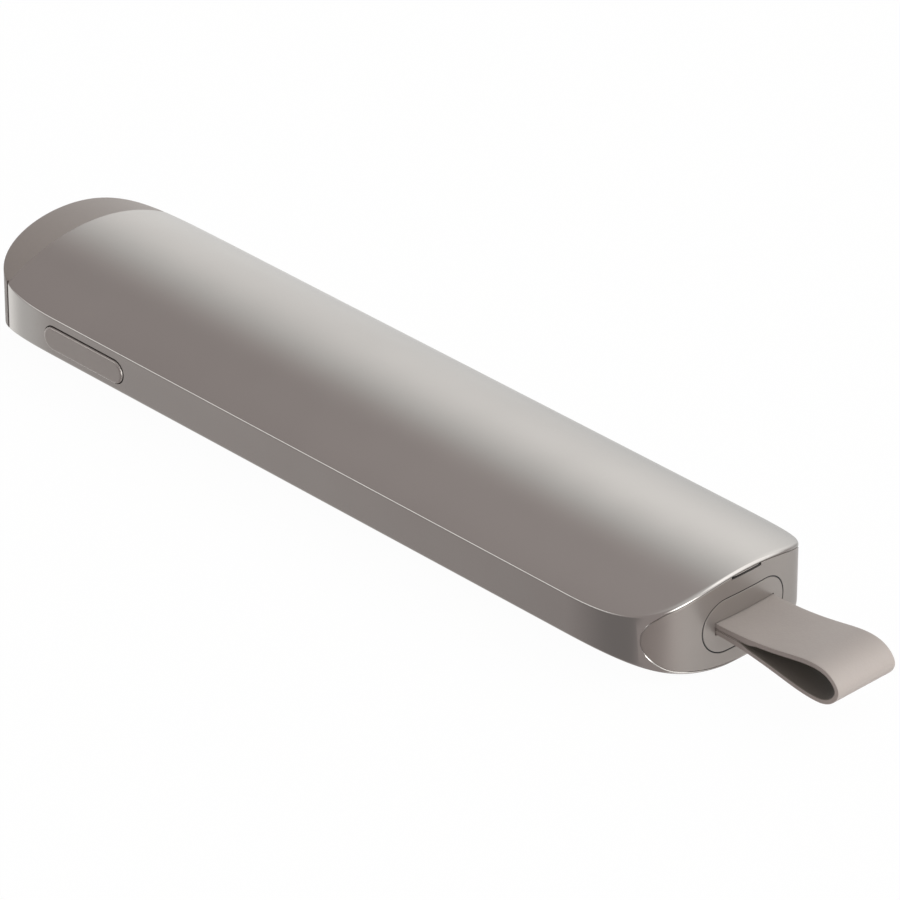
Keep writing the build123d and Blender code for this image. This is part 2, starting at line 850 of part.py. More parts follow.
# ------------------------------------------------------------------ receiver's pocket and charge socket
sleeve_x0 = pocket_x - sleeve_end_wall
socket_half_y = socket_width / 2
socket_half_z = socket_height / 2
with BuildPart() as receiver_sleeve:
    add(stadium_bar(sleeve_width, sleeve_height, sleeve_x0, tail_x, receiver_z))
    add(plan_block(housing_wall + glue_gap, -over, high_z), mode=Mode.INTERSECT)
    add(
        stadium_bar(
            receiver_cap_width + 2 * pocket_gap,
            receiver_cap_height + 2 * pocket_gap,
            pocket_x,
            tail_x + over,
            receiver_z,
        ),
        mode=Mode.SUBTRACT,
    )
    add(
        box_between(
            sleeve_x0 - over,
            pocket_x + over,
            -socket_half_y - glue_gap,
            socket_half_y + glue_gap,
            receiver_z - socket_half_z - glue_gap,
            receiver_z + socket_half_z + glue_gap,
        ),
        mode=Mode.SUBTRACT,
    )
receiver_sleeve.part.label = "receiver_sleeve"

with BuildPart() as charge_socket:
    add(stadium_bar(socket_width, socket_height, socket_x, pocket_x, receiver_z))
    add(
        stadium_bar(
            socket_width - 2 * socket_wall,
            socket_height - 2 * socket_wall,
            socket_x + socket_back_wall,
            pocket_x + over,
            receiver_z,
        ),
        mode=Mode.SUBTRACT,
    )
    for side in (-1, 1):
        wing_y = sorted((side * (socket_half_y - socket_wall), side * (socket_half_y + socket_wing)))
        add(
            box_between(
                socket_x + socket_back_wall / 2,
                socket_x + socket_back_wall / 2 + socket_wing,
                *wing_y,
                board_top,
                board_top + socket_wing_thickness,
            )
        )
charge_socket.part.label = "charge_socket"

with BuildPart() as charge_tongue:
    tongue_x = socket_x + socket_back_wall
    half_t = charge_tongue_width / 2
    z_half = charge_tongue_height / 2
    add(
        box_between(
            tongue_x,
            tongue_x + charge_tongue_length,
            -half_t,
            half_t,
            receiver_z - z_half,
            receiver_z + z_half,
        )
    )
charge_tongue.part.label = "charge_tongue"

with BuildPart() as retaining_springs:
    # two leaf springs, one over and one under the plug's shell
    foot_z = receiver_cap_height / 2 + pocket_gap
    crest_z = plug_shell_height / 2 + spring_gap
    spring_x = (pocket_x + cap_x0) / 2
    with BuildSketch(Plane.XZ.offset(-spring_width / 2)):
        for side in (-1, 1):
            with BuildLine():
                ThreePointArc(
                    (spring_x - spring_half_length, receiver_z + side * foot_z),
                    (spring_x, receiver_z + side * crest_z),
                    (spring_x + spring_half_length, receiver_z + side * foot_z),
                )
                ThreePointArc(
                    (spring_x - spring_half_length + spring_thickness, receiver_z + side * foot_z),
                    (spring_x, receiver_z + side * (crest_z + spring_thickness)),
                    (spring_x + spring_half_length - spring_thickness, receiver_z + side * foot_z),
                )
                for end in (-1, 1):
                    Line(
                        (spring_x + end * spring_half_length, receiver_z + side * foot_z),
                        (
                            spring_x + end * (spring_half_length - spring_thickness),
                            receiver_z + side * foot_z,
                        ),
                    )
            make_face()
    extrude(amount=spring_width)
retaining_springs.part.label = "retaining_springs"

# ------------------------------------------------------------------ status light
with BuildPart() as light_pipe:
    half_light = light_width / 2 - light_gap
    half_light_z = light_height / 2 - light_gap
    bend_x = inner_tail_x - light_bend
    add(
        box_between(
            bend_x,
            tail_x - light_recess,
            -half_light,
            half_light,
            light_z - half_light_z,
            light_z + half_light_z,
        )
    )
    add(
        box_between(
            bend_x,
            inner_tail_x - glue_gap,
            -half_light,
            half_light,
            sleeve_top + flex_thickness + led_height + led_gap,
            light_z,
        )
    )
light_pipe.part.label = "light_pipe"

flex_x1 = inner_tail_x - 2 * glue_gap
flex_z1 = sleeve_top + flex_thickness
with BuildPart() as led_flex:
    leg_x0 = board_x1 - flex_leg_gap
    add(box_between(leg_x0, flex_x1, -flex_width / 2, flex_width / 2, sleeve_top, flex_z1))
    leg_y1 = flex_leg_y + flex_leg_width / 2
    add(box_between(leg_x0, leg_x0 + flex_neck_width, 0, leg_y1, sleeve_top, flex_z1))
    add(
        box_between(
            leg_x0, leg_x0 + flex_thickness, leg_y1 - flex_leg_width, leg_y1, board_top, flex_z1
        )
    )
led_flex.part.label = "led_flex"

with BuildPart() as status_led:
    led_x = inner_tail_x - light_bend / 2
    add(
        box_between(
            led_x - led_width / 2,
            led_x + led_width / 2,
            -led_length / 2,
            led_length / 2,
            flex_z1,
            flex_z1 + led_height,
        )
    )
status_led.part.label = "status_led"

# ------------------------------------------------------------------ receiver
slot_half_y = strap_width / 2 + strap_side_gap
with BuildPart() as receiver_cap:
    add(stadium_bar(receiver_cap_width, receiver_cap_height, cap_x0, tail_x + over, receiver_z))
    add(body_block.part, mode=Mode.INTERSECT)
    # recess for the plug's shell
    add(
        box_between(
            cap_x0 - over,
            shell_x1,
            -plug_shell_width / 2 - thread_gap,
            plug_shell_width / 2 + thread_gap,
            receiver_z - plug_shell_height / 2 - thread_gap,
            receiver_z + plug_shell_height / 2 + thread_gap,
        ),
        mode=Mode.SUBTRACT,
    )
    # slot for the strap and the room where it wraps its pin
    add(
        box_between(
            pin_x,
            tail_x + over,
            -slot_half_y,
            slot_half_y,
            receiver_z - strap_thickness - strap_slot_gap,
            receiver_z + strap_thickness + strap_slot_gap,
        ),
        mode=Mode.SUBTRACT,
    )
    with BuildSketch(Plane.XZ.offset(-slot_half_y)):
        with Locations((pin_x, receiver_z)):
            Circle(pin_bore + strap_thickness + strap_slot_gap)
    extrude(amount=2 * slot_half_y, mode=Mode.SUBTRACT)
    with BuildSketch(Plane.XZ.offset(-half_width)):
        with Locations((pin_x, receiver_z)):
            Circle(pin_bore)
    extrude(amount=body_width, mode=Mode.SUBTRACT)
receiver_cap.part.label = "receiver_cap"

with BuildPart() as strap_pin:
    pin_half = receiver_cap_width / 2 - strap_pin_end_gap
    with BuildSketch(Plane.XZ.offset(-pin_half)):
        with Locations((pin_x, receiver_z)):
            Circle(strap_pin_diameter / 2)
    extrude(amount=2 * pin_half)
strap_pin.part.label = "strap_pin"

shell_half_y = plug_shell_width / 2
shell_half_z = plug_shell_height / 2
inner_y = shell_half_y - plug_shell_wall
inner_z = shell_half_z - plug_shell_wall
with BuildPart() as plug_shell:
    add(
        box_between(
            shell_x0,
            shell_x1,
            -shell_half_y,
            shell_half_y,
            receiver_z - shell_half_z,
            receiver_z + shell_half_z,
        )
    )
    fillet(plug_shell.edges().filter_by(Axis.X), radius=plug_shell_wall)
    add(
        box_between(
            shell_x0 - over, shell_x1 + over, -inner_y, inner_y, receiver_z - inner_z, receiver_z + inner_z
        ),
        mode=Mode.SUBTRACT,
    )
plug_shell.part.label = "plug_shell"

plug_board_z = receiver_z + inner_z - receiver_board_thickness
tongue_x0 = shell_x0 + plug_tongue_recess
with BuildPart() as receiver_board:
    add(box_between(tongue_x0, shell_x1, -inner_y, inner_y, plug_board_z, receiver_z + inner_z))
receiver_board.part.label = "receiver_board"

with BuildPart() as plug_tongue:
    add(
        box_between(
            tongue_x0, shell_x1, -inner_y, inner_y, plug_board_z - plug_tongue_height, plug_board_z
        )
    )
plug_tongue.part.label = "plug_tongue"

with BuildPart() as plug_contacts:
    contact_z = plug_board_z - plug_tongue_height - contact_height / 2
    with Locations((tongue_x0 + contact_length / 2 + plug_tongue_recess, 0, contact_z)):
        with GridLocations(contact_length, contact_pitch, 1, contact_count):
            Box(contact_length, contact_width, contact_height)
plug_contacts.part.label = "plug_contacts"

# ------------------------------------------------------------------ wrist strap
with BuildPart() as wrist_strap:
    with BuildSketch(Plane.XZ.offset(-strap_width / 2)) as strap_side:
        band_top = (tail_x, receiver_z + strap_thickness)
        band_low = (tail_x, receiver_z - strap_thickness)
        with BuildLine():
            outside = Spline(
                band_top,
                *[(tail_x + reach, receiver_z + height) for reach, height in strap_loop],
                band_low,
                tangents=[(1, 0), (-1, 0)],
            )
            Line(band_low, band_top)
        make_face()
        with BuildLine():
            inside = []
            for step in range(loop_steps + 1):
                share = loop_ends[0] + (loop_ends[1] - loop_ends[0]) * step / loop_steps
                point, along = outside.position_at(share), outside.tangent_at(share)
                inside.append(point + Vector(along.Y, -along.X) * strap_thickness)
            Spline(*inside)
            Line(inside[-1], inside[0])
        make_face(mode=Mode.SUBTRACT)
        with Locations((pin_x, receiver_z)):
            Circle(pin_bore + strap_thickness)
        with Locations(((pin_x + tail_x) / 2, receiver_z)):
            Rectangle(tail_x - pin_x, 2 * strap_thickness)
        with Locations((pin_x, receiver_z)):
            Circle(pin_bore, mode=Mode.SUBTRACT)
    extrude(amount=strap_width)
wrist_strap.part.label = "wrist_strap"

# ------------------------------------------------------------------ one file for each piece
pieces = [
    back_housing,
    front_cover,
    tip_cap,
    tip_window,
    tail_plate,
    laser_holder,
    laser_lens,
    laser_diode,
    laser_board,
    pointer_button,
    next_button,
    back_button,
    side_button,
    pointer_stem,
    next_stem,
    back_stem,
    side_stem,
    button_switches,
    side_switch,
    main_board,
    board_screws,
    radio_chip,
    radio_shield,
    power_chip,
    vibration_motor,
    antenna,
    battery_pad,
    battery,
    battery_tabs,
    middle_frame,
    receiver_sleeve,
    retaining_springs,
    charge_socket,
    charge_tongue,
    light_pipe,
    led_flex,
    status_led,
    receiver_cap,
    strap_pin,
    plug_shell,
    receiver_board,
    plug_tongue,
    plug_contacts,
    wrist_strap,
]
for piece in pieces:
    export_step(piece.part, f"parts/{piece.part.label}.step")
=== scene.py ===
"""Looks of a slim hand-held presentation clicker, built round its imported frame.

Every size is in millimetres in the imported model's own frame: X from the pointing tip to the strap,
Z from the button side, which it lies on, up to the domed back. A piece is turned to metres when it
is finished.
"""

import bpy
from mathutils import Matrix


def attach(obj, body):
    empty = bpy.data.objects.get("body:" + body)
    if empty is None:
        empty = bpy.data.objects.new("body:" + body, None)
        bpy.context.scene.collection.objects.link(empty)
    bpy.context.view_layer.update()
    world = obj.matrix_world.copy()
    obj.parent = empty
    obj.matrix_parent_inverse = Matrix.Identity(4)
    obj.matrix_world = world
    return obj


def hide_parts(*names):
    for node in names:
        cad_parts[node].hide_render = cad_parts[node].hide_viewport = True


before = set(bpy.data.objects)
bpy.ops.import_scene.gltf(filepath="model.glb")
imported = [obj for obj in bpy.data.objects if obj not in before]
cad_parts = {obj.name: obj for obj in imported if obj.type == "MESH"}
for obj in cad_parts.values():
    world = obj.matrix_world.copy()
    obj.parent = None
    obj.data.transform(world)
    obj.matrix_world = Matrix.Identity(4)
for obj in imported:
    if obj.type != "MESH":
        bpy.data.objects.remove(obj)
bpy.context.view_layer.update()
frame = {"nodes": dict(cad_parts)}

import logging
from dataclasses import dataclass
from enum import Enum
from functools import cache
from math import atan, cos, pi, radians, sin, sqrt, tan
from typing import Callable, Sequence

import bmesh
import bpy
import numpy as np
from mathutils import Matrix, Vector

log = logging.getLogger("clicker")
MM, MICRON = 0.001, 0.000001
WELD = 0.0005  # carved vertices closer than this become one
HAIR = 0.01  # keeps two faces or edges from falling together
ON_PLANE = 0.0001  # a vertex closer than this to a cutting plane lies on it
PAST = 1.0  # how far a cutting shape reaches past what it cuts
MIDDLE = (0.3, 0.7)  # most of a noise's values lie between these
WHITE = (1.0, 1.0, 1.0)
Pair = tuple[float, float]
Triple = tuple[float, float, float]
Colour = Triple
Points = list[Vector]
Level = Callable[[float], float]
Mesh = bmesh.types.BMesh
Socket = bpy.types.NodeSocket
Inputs = dict[str, object]


class Body(Enum):
    """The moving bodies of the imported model."""

    SHELL = "body"
    RECEIVER = "receiver"
    POINTER = "pointer_button"
    NEXT = "next_button"
    BACK = "back_button"
    SIDE = "side_button"


class Carve(Enum):
    """What a carving shape does to a piece."""

    CUT = "DIFFERENCE"
    JOIN = "UNION"


# ------------------------------------------------------------------ finishes
class NodeBench:
    """The node tree of a material or world, with short ways to add and join its nodes."""

    def __init__(self, owner: bpy.types.ID) -> None:
        """Empties the tree of its owner, but for an output node and coordinates.

        Args:
            owner: Material or world.
        """
        owner.use_nodes = True
        self.owner, self.tree, kind = owner, owner.node_tree, type(owner).__name__
        self.tree.nodes.clear()
        self.output = self.tree.nodes.new("ShaderNodeOutput" + kind)
        self.at = self.add("TexCoord").outputs["Object" if kind == "Material" else "Generated"]

    def add(self, kind: str, settings: Inputs | None = None, **inputs: object) -> bpy.types.Node:
        """Adds a node and fills its inputs.

        Args:
            kind: Node type without the ShaderNode prefix.
            settings: Node properties to set.
            inputs: Values or sockets, by input name with _ for each space, or in_N by place.

        Returns:
            The new node.
        """
        node = self.tree.nodes.new("ShaderNode" + kind)
        for key, value in (settings or {}).items():
            setattr(node, key, value)
        for key, value in inputs.items():
            socket = node.inputs[int(key[3:]) if key.startswith("in_") else key.replace("_", " ")]
            if isinstance(value, Socket):
                self.tree.links.new(value, socket)
            else:
                socket.default_value = (*value, 1.0) if socket.type == "RGBA" else value
        return node

    def noise(self, scale: float, detail: float = 2.0, roughness: float = 0.5,
              stretch: Colour | None = None) -> Socket:
        """Noise over the piece, stretched for marks that run one way.

        Args:
            scale: Number of cells in a metre.
            detail: Octaves.
            roughness: Share of each finer octave.
            stretch: Scale along each axis, if any.

        Returns:
            The noise value's socket.
        """
        at = self.add("Mapping", Vector=self.at, Scale=stretch).outputs[0] if stretch else self.at
        return self.add("TexNoise", Vector=at, Scale=scale, Detail=detail,
                        Roughness=roughness).outputs["Fac"]

    def cells(self, scale: float, feature: str = "F1", **inputs: float) -> Socket:
        """Distance inside cells over the piece, so many of them in a metre."""
        return self.add("TexVoronoi", {"feature": feature}, Vector=self.at, Scale=scale,
                        **inputs).outputs["Distance"]

    def lines(self, axis: int, pitch: float) -> Socket:
        """Way from one line to the next along an axis, 0 to 1, for that many lines in a metre."""
        along = self.add("SeparateXYZ", Vector=self.at).outputs[axis]
        return self.math("FRACT", self.math("MULTIPLY", along, pitch))

    def stripe(self, line: Socket, near: float, far: float) -> Socket:
        """1 in the middle between two lines, falling to 0 from near to far from it."""
        away = self.math("ABSOLUTE", self.math("SUBTRACT", line, 0.5))
        return self.ramp(away, near, far, 1.0, 0.0)

    def ramp(self, value: Socket, low: float, high: float, to_low: float = 0.0,
             to_high: float = 1.0, smooth: bool = False) -> Socket:
        """Maps a span of values onto another, clamped.

        Args:
            value: Socket to map.
            low: Value that gives to_low.
            high: Value that gives to_high.
            to_low: Result at low and below.
            to_high: Result at high and above.
            smooth: Whether the ends are soft.

        Returns:
            The result's socket.
        """
        kind = {"clamp": True, "interpolation_type": "SMOOTHSTEP" if smooth else "LINEAR"}
        return self.add("MapRange", kind, Value=value, From_Min=low, From_Max=high,
                        To_Min=to_low, To_Max=to_high).outputs["Result"]

    def mix(self, share: object, first: object, second: object) -> Socket:
        """Blends two colours or colour sockets by a share of the second."""
        return self.add("Mix", {"data_type": "RGBA"}, in_0=share, in_6=first,
                        in_7=second).outputs[2]

    def math(self, operation: str, first: object, second: object = 0.0) -> Socket:
        """Result of a Math node on two values or sockets."""
        return self.add("Math", {"operation": operation}, in_0=first, in_1=second).outputs[0]

    def sway(self, base: object, noise: Socket, down: float, up: float,
             span: Pair = MIDDLE) -> Socket:
        """A base value plus down to up, as the noise rises through a span."""
        return self.math("ADD", self.ramp(noise, *span, down, up), base)

    def bump(self, height: Socket, strength: float, microns: float,
             under: Socket | None = None) -> Socket:
        """Bumps the surface by a height map.

        Args:
            height: Height socket, 0 to 1.
            strength: Share of the bump that shows.
            microns: Depth.
            under: Normal of a coarser bump below this one, if any.

        Returns:
            The bumped normal's socket.
        """
        below = {} if under is None else {"Normal": under}
        return self.add("Bump", Height=height, Strength=strength, Distance=microns * MICRON,
                        **below).outputs["Normal"]

    def surface(self, shader: bpy.types.Node) -> None:
        """Joins a shader to the output."""
        self.tree.links.new(shader.outputs[0], self.output.inputs["Surface"])


@dataclass(frozen=True)
class Finish:
    """A named finish, made into a Blender material once and then shared."""

    name: str
    colour: Colour

    @cache
    def material(self) -> bpy.types.Material:
        """The finish's material.

        Returns:
            The material, built at its first use.
        """
        bench = NodeBench(bpy.data.materials.new(self.name + "_finish"))
        bench.surface(bench.add("BsdfPrincipled", **self.build(bench)))
        return bench.owner

    def build(self, bench: NodeBench) -> Inputs:
        """Adds the finish's own nodes and returns the inputs of its Principled shader."""
        raise NotImplementedError

    def shade(self, factor: float) -> Colour:
        """The finish's colour times a factor."""
        return tuple(min(1.0, c * factor) for c in self.colour)

    def clouded(self, bench: NodeBench, noise: Socket, low: float, high: float) -> Socket:
        """The finish's colour times low to high, as the noise rises."""
        return bench.mix(bench.ramp(noise, *MIDDLE), self.shade(low), self.shade(high))


@dataclass(frozen=True)
class SatinMetal(Finish):
    """Fine bead-blasted metal under a satin tinted coat."""

    roughness: float = 0.36
    metallic: float = 1.0
    rim: Colour = (0.75, 0.75, 0.75)

    def build(self, bench: NodeBench) -> Inputs:
        """Fine blast grain, slow cloudy change of tone and softly rubbed patches.

        Args:
            bench: Bench over the material.

        Returns:
            Inputs of the Principled shader.
        """
        grain, rubbed = bench.noise(9000.0, 3.0, 0.6), bench.noise(160.0, 4.0, 0.6)
        tone = self.clouded(bench, bench.noise(45.0, 3.0, 0.55), 0.965, 1.02)
        tone = bench.mix(bench.ramp(grain, 0.35, 0.65, 0.0, 0.16), tone, self.shade(0.86))
        rough = bench.sway(self.roughness, rubbed, -0.02, 0.025, (0.35, 0.7))
        rough = bench.sway(rough, grain, -0.012, 0.012)
        return dict(Base_Color=tone, Metallic=self.metallic, Roughness=rough,
                    Specular_Tint=self.rim, Normal=bench.bump(grain, 0.1, 20))


@dataclass(frozen=True)
class MouldedPlastic(Finish):
    """Moulded plastic with a fine texture, plain, metal-flake painted or clear-coated."""

    roughness: float = 0.5
    texture: float = 0.3
    flake: float = 0.0
    clear: float = 0.0

    def build(self, bench: NodeBench) -> Inputs:
        """Cellular moulding texture, speckle and slow change of gloss.

        Args:
            bench: Bench over the material.

        Returns:
            Inputs of the Principled shader.
        """
        cells = bench.cells(5200.0, "SMOOTH_F1", Smoothness=0.6)
        speck, slow = bench.noise(2600.0, 4.0, 0.6), bench.noise(110.0, 3.0)
        tone = self.clouded(bench, slow, 0.965, 1.03)
        tone = bench.mix(bench.ramp(speck, 0.45, 0.75, 0.0, 0.14), tone, self.shade(0.8))
        return dict(Base_Color=tone, Metallic=self.flake,
                    Roughness=bench.sway(self.roughness, slow, -0.03, 0.03),
                    Specular_IOR_Level=0.38, Coat_Weight=self.clear, Coat_Roughness=0.16,
                    Normal=bench.bump(cells, self.texture, 30))


@dataclass(frozen=True)
class SoftBand(Finish):
    """Smooth, faintly grained synthetic leather of the wrist strap."""

    roughness: float = 0.52
    # Dark colour of the painted shade inside the loop and where the band sits in the slot
    lining: Colour = (0.1425, 0.1275, 0.11)
    # X span over which the painted highlight on the strap's curved end fades in
    bend: Pair = (0.077, 0.0825)

    def build(self, bench: NodeBench) -> Inputs:
        """Pores and creases, a painted highlight on the band's curved end, a little sheen and
        painted shade on its inside.

        Args:
            bench: Bench over the material.

        Returns:
            Inputs of the Principled shader.
        """
        pores = bench.cells(1900.0, "DISTANCE_TO_EDGE")
        crease = bench.noise(700.0, 5.0, 0.62)
        tone = self.clouded(bench, bench.noise(90.0, 3.0), 0.96, 1.035)
        tone = bench.mix(bench.ramp(pores, 0.0, 0.12, 0.1, 0.0), tone, self.shade(0.72))
        # Painted highlight: the band's curved end, from x = 77 mm on, is made paler as if lit from
        # that side.
        along = bench.add("SeparateXYZ", Vector=bench.at).outputs[0]
        tone = bench.mix(bench.ramp(along, *self.bend, smooth=True), tone, self.shade(1.18))
        # Painted shade: where the vertex attribute marks it, the inside of the loop and the part in
        # the slot take a dark colour.
        inside = bench.add("Attribute", {"attribute_name": "lining"}).outputs["Fac"]
        tone = bench.mix(bench.ramp(inside, 0.9, 1.0), tone, self.lining)
        fine = bench.bump(bench.ramp(pores, 0.0, 0.2), 0.12, 30)
        return dict(Base_Color=tone, Roughness=bench.sway(self.roughness, crease, -0.04, 0.05),
                    Specular_IOR_Level=0.42, Sheen_Weight=0.09, Sheen_Roughness=0.5,
                    Normal=bench.bump(crease, 0.12, 60, fine))


@dataclass(frozen=True)
class DarkAcrylic(Finish):
    """Polished dark window that hides what is behind it."""

    roughness: float = 0.08

    def build(self, bench: NodeBench) -> Inputs:
        """Nearly black gloss with hairline polish marks.

        Args:
            bench: Bench over the material.

        Returns:
            Inputs of the Principled shader.
        """
        marks = bench.noise(1400.0, stretch=(0.15, 1.0, 1.0))
        rough = bench.sway(self.roughness, marks, 0.0, 0.06, (0.4, 0.8))
        return dict(Base_Color=self.clouded(bench, bench.noise(200.0), 0.8, 1.2),
                    Roughness=rough, Specular_IOR_Level=0.4, Coat_Weight=0.2)


@dataclass(frozen=True)
class ClearGlass(Finish):
    """Clear moulded lens."""

    roughness: float = 0.03

    def build(self, bench: NodeBench) -> Inputs:
        """Clear body with slightly uneven moulding.

        Args:
            bench: Bench over the material.

        Returns:
            Inputs of the Principled shader.
        """
        wave = bench.noise(900.0)
        return dict(Base_Color=self.clouded(bench, wave, 0.97, 1.0), Roughness=self.roughness,
                    Transmission_Weight=0.9, IOR=1.49, Normal=bench.bump(wave, 0.04, 20))


@dataclass(frozen=True)
class TurnedMetal(Finish):
    """Drawn, stamped or turned bare metal with fine marks along X."""

    roughness: float = 0.28

    def build(self, bench: NodeBench) -> Inputs:
        """Fine tool marks, dull spots and slight tarnish.

        Args:
            bench: Bench over the material.

        Returns:
            Inputs of the Principled shader.
        """
        marks = bench.noise(4200.0, 3.0, 0.6, (0.05, 1.0, 1.0))
        dull = bench.ramp(bench.noise(420.0, 4.0, 0.6), 0.4, 0.75, 0.0, 0.5)
        return dict(Base_Color=bench.mix(dull, self.colour, self.shade(0.74)), Metallic=1.0,
                    Roughness=bench.sway(self.roughness, marks, -0.05, 0.09),
                    Normal=bench.bump(marks, 0.12, 20))


@dataclass(frozen=True)
class SolderMask(Finish):
    """Circuit board with traces under its solder mask."""

    trace: Colour = (0.06, 0.26, 0.14)
    via: Colour = (0.62, 0.5, 0.26)
    pitch: float = 1400.0

    def build(self, bench: NodeBench) -> Inputs:
        """Traces in blocks of their own direction, via dots and a glossy mask.

        Args:
            bench: Bench over the material.

        Returns:
            Inputs of the Principled shader.
        """
        blocks = bench.add("TexVoronoi", {"distance": "CHEBYCHEV"}, Vector=bench.at, Scale=240.0,
                           Randomness=0.7).outputs["Color"]
        line = bench.add("Mix", in_0=bench.ramp(blocks, 0.45, 0.55),
                         in_2=bench.lines(0, self.pitch), in_3=bench.lines(1, self.pitch))
        copper = bench.stripe(line.outputs[0], 0.2, 0.24)
        dots = bench.ramp(bench.cells(520.0, Randomness=0.9), 0.09, 0.12, 1.0, 0.0)
        tone = bench.mix(bench.math("MULTIPLY", copper, 0.6), self.colour, self.trace)
        return dict(Base_Color=bench.mix(dots, tone, self.via), Roughness=0.3, Coat_Weight=0.3,
                    Coat_Roughness=0.2,
                    Normal=bench.bump(bench.math("MAXIMUM", copper, dots), 0.35, 30))


@dataclass(frozen=True)
class SoftFoam(Finish):
    """Open-cell foam or adhesive pad."""

    def build(self, bench: NodeBench) -> Inputs:
        """Open cells in two sizes on a matt ground.

        Args:
            bench: Bench over the material.

        Returns:
            Inputs of the Principled shader.
        """
        fine = bench.ramp(bench.cells(3600.0, "DISTANCE_TO_EDGE"), 0.0, 0.25)
        coarse = bench.bump(bench.cells(1500.0), 0.3, 100)
        return dict(Base_Color=bench.mix(fine, self.shade(1.7), self.shade(0.7)),
                    Roughness=0.92, Normal=bench.bump(fine, 0.5, 80, coarse))


@dataclass(frozen=True)
class SoftFoil(Finish):
    """Laminated foil pouch of the battery."""

    def build(self, bench: NodeBench) -> Inputs:
        """Shallow wrinkles and a soft rolled sheen.

        Args:
            bench: Bench over the material.

        Returns:
            Inputs of the Principled shader.
        """
        wrinkle = bench.noise(260.0, 5.0, 0.62)
        rolled = bench.noise(3000.0, stretch=(0.04, 1.0, 1.0))
        return dict(Base_Color=self.clouded(bench, wrinkle, 0.88, 1.0), Metallic=0.9,
                    Roughness=bench.ramp(rolled, *MIDDLE, 0.26, 0.4),
                    Normal=bench.bump(wrinkle, 0.35, 200, bench.bump(rolled, 0.1, 20)))


@dataclass(frozen=True)
class FlexFilm(Finish):
    """Amber flexible circuit film with its copper runs."""

    run: Colour = (0.62, 0.27, 0.09)

    def build(self, bench: NodeBench) -> Inputs:
        """Copper runs along the film under its amber cover.

        Args:
            bench: Bench over the material.

        Returns:
            Inputs of the Principled shader.
        """
        copper = bench.stripe(bench.lines(1, 1250.0), 0.18, 0.22)
        spots = bench.ramp(bench.noise(800.0, 3.0), 0.5, 0.8, 0.0, 0.3)
        tone = bench.mix(copper, self.colour, self.run)
        return dict(Base_Color=bench.mix(spots, tone, self.shade(0.6)), Roughness=0.32,
                    Coat_Weight=0.4, Normal=bench.bump(copper, 0.3, 20))


class Finishes:
    """Every finish of the clicker."""

    HOUSING = SatinMetal("housing_metal", (0.461, 0.444, 0.426), roughness=0.2)
    COVER = SatinMetal("cover_metal", (0.42, 0.401, 0.3825), roughness=0.3)
    PLATE = SatinMetal("plate_metal", (0.355, 0.326, 0.306), roughness=0.34, metallic=0.7)
    CAP = MouldedPlastic("cap_plastic", (0.249, 0.223, 0.207), 0.54, texture=0.12, clear=0.05)
    BUTTON = MouldedPlastic("button_plastic", (0.42, 0.394, 0.375), 0.36, texture=0.12,
                            flake=0.85)
    BLACK = MouldedPlastic("black_plastic", (0.0225, 0.0225, 0.024), 0.45)
    FRAME = MouldedPlastic("frame_plastic", (0.09, 0.09, 0.094))
    DARK_LENS = DarkAcrylic("dark_lens", (0.009, 0.0085, 0.0085))
    CLEAR_LENS = ClearGlass("clear_lens", (0.9, 0.92, 0.95))
    BRASS = TurnedMetal("brass", (0.585, 0.45, 0.21))
    STEEL = TurnedMetal("steel", (0.465, 0.465, 0.472), roughness=0.24)
    BOARD = SolderMask("board", (0.02, 0.13, 0.07))
    FOAM = SoftFoam("foam", (0.06, 0.06, 0.06))
    FOIL = SoftFoil("foil", (0.525, 0.532, 0.548))
    FLEX = FlexFilm("flex", (0.5, 0.2, 0.035))
    STRAP = SoftBand("strap", (0.349, 0.314, 0.2925))


# ------------------------------------------------------------------ mesh tools
def skinned(rings: Sequence[Points], flat: bool = False) -> Mesh:
    """Closed skin that grows from a circle, ring by ring.

    Args:
        rings: Places of each ring's vertices, in the same order round every ring.
        flat: Whether the ends are one face each, and not rows that join a ring's two halves.

    Returns:
        The closed mesh with its faces outward.
    """
    bm, size, ends = bmesh.new(), len(rings[0]), (0, len(rings) - 1)
    verts = list(bmesh.ops.create_circle(bm, radius=1.0, segments=size)["verts"])
    for step, ring in enumerate(rings):
        if step:
            made = bmesh.ops.extrude_edge_only(bm, edges=edges)["geom"]
            fresh = {v for v in made if isinstance(v, bmesh.types.BMVert)}
            verts = [next(w for e in v.link_edges for w in (e.other_vert(v),) if w in fresh)
                     for v in verts]
        edges = [bm.edges.get((v, w)) for v, w in zip(verts, [*verts[1:], verts[0]])]
        for vert, place in zip(verts, ring):
            vert.co = place
        if step in ends and flat:
            bmesh.ops.edgeloop_fill(bm, edges=edges)
        elif step in ends:
            sides = edges[:size // 2 - 1] + edges[size // 2:-1]
            bmesh.ops.bridge_loops(bm, edges=sides)
    bmesh.ops.recalc_face_normals(bm, faces=bm.faces)
    return bm


def arc(radius: float, steps: int) -> list[Pair]:
    """Steps round an edge: how far each draws in from the side, and how far under the face."""
    turns = [pi / 2 * k / steps for k in range(steps + 1)]
    return [(radius * (1 - cos(a)), radius * (1 - sin(a))) for a in turns]


def block(low: Sequence[float], high: Sequence[float]) -> Mesh:
    """A plain cutting block between two corners.

    Args:
        low: Lowest corner.
        high: Highest corner.

    Returns:
        The closed mesh.
    """
    bm = bmesh.new()
    bmesh.ops.create_cube(bm, size=1.0)
    bmesh.ops.scale(bm, vec=[b - a for a, b in zip(low, high)], verts=bm.verts)
    return turned(bm, 0, [(a + b) / 2 for a, b in zip(low, high)])


def rod(radius: float, half: float, x: float, z: float) -> Mesh:
    """A plain cutting rod along Y.

    Args:
        radius: Radius.
        half: Half of its length.
        x: X of its middle.
        z: Z of its middle.

    Returns:
        The closed mesh.
    """
    bm = bmesh.new()
    bmesh.ops.create_cone(bm, cap_ends=True, segments=64, radius1=radius, radius2=radius,
                          depth=2 * half)
    return turned(bm, 90, (x, 0, z), "X")


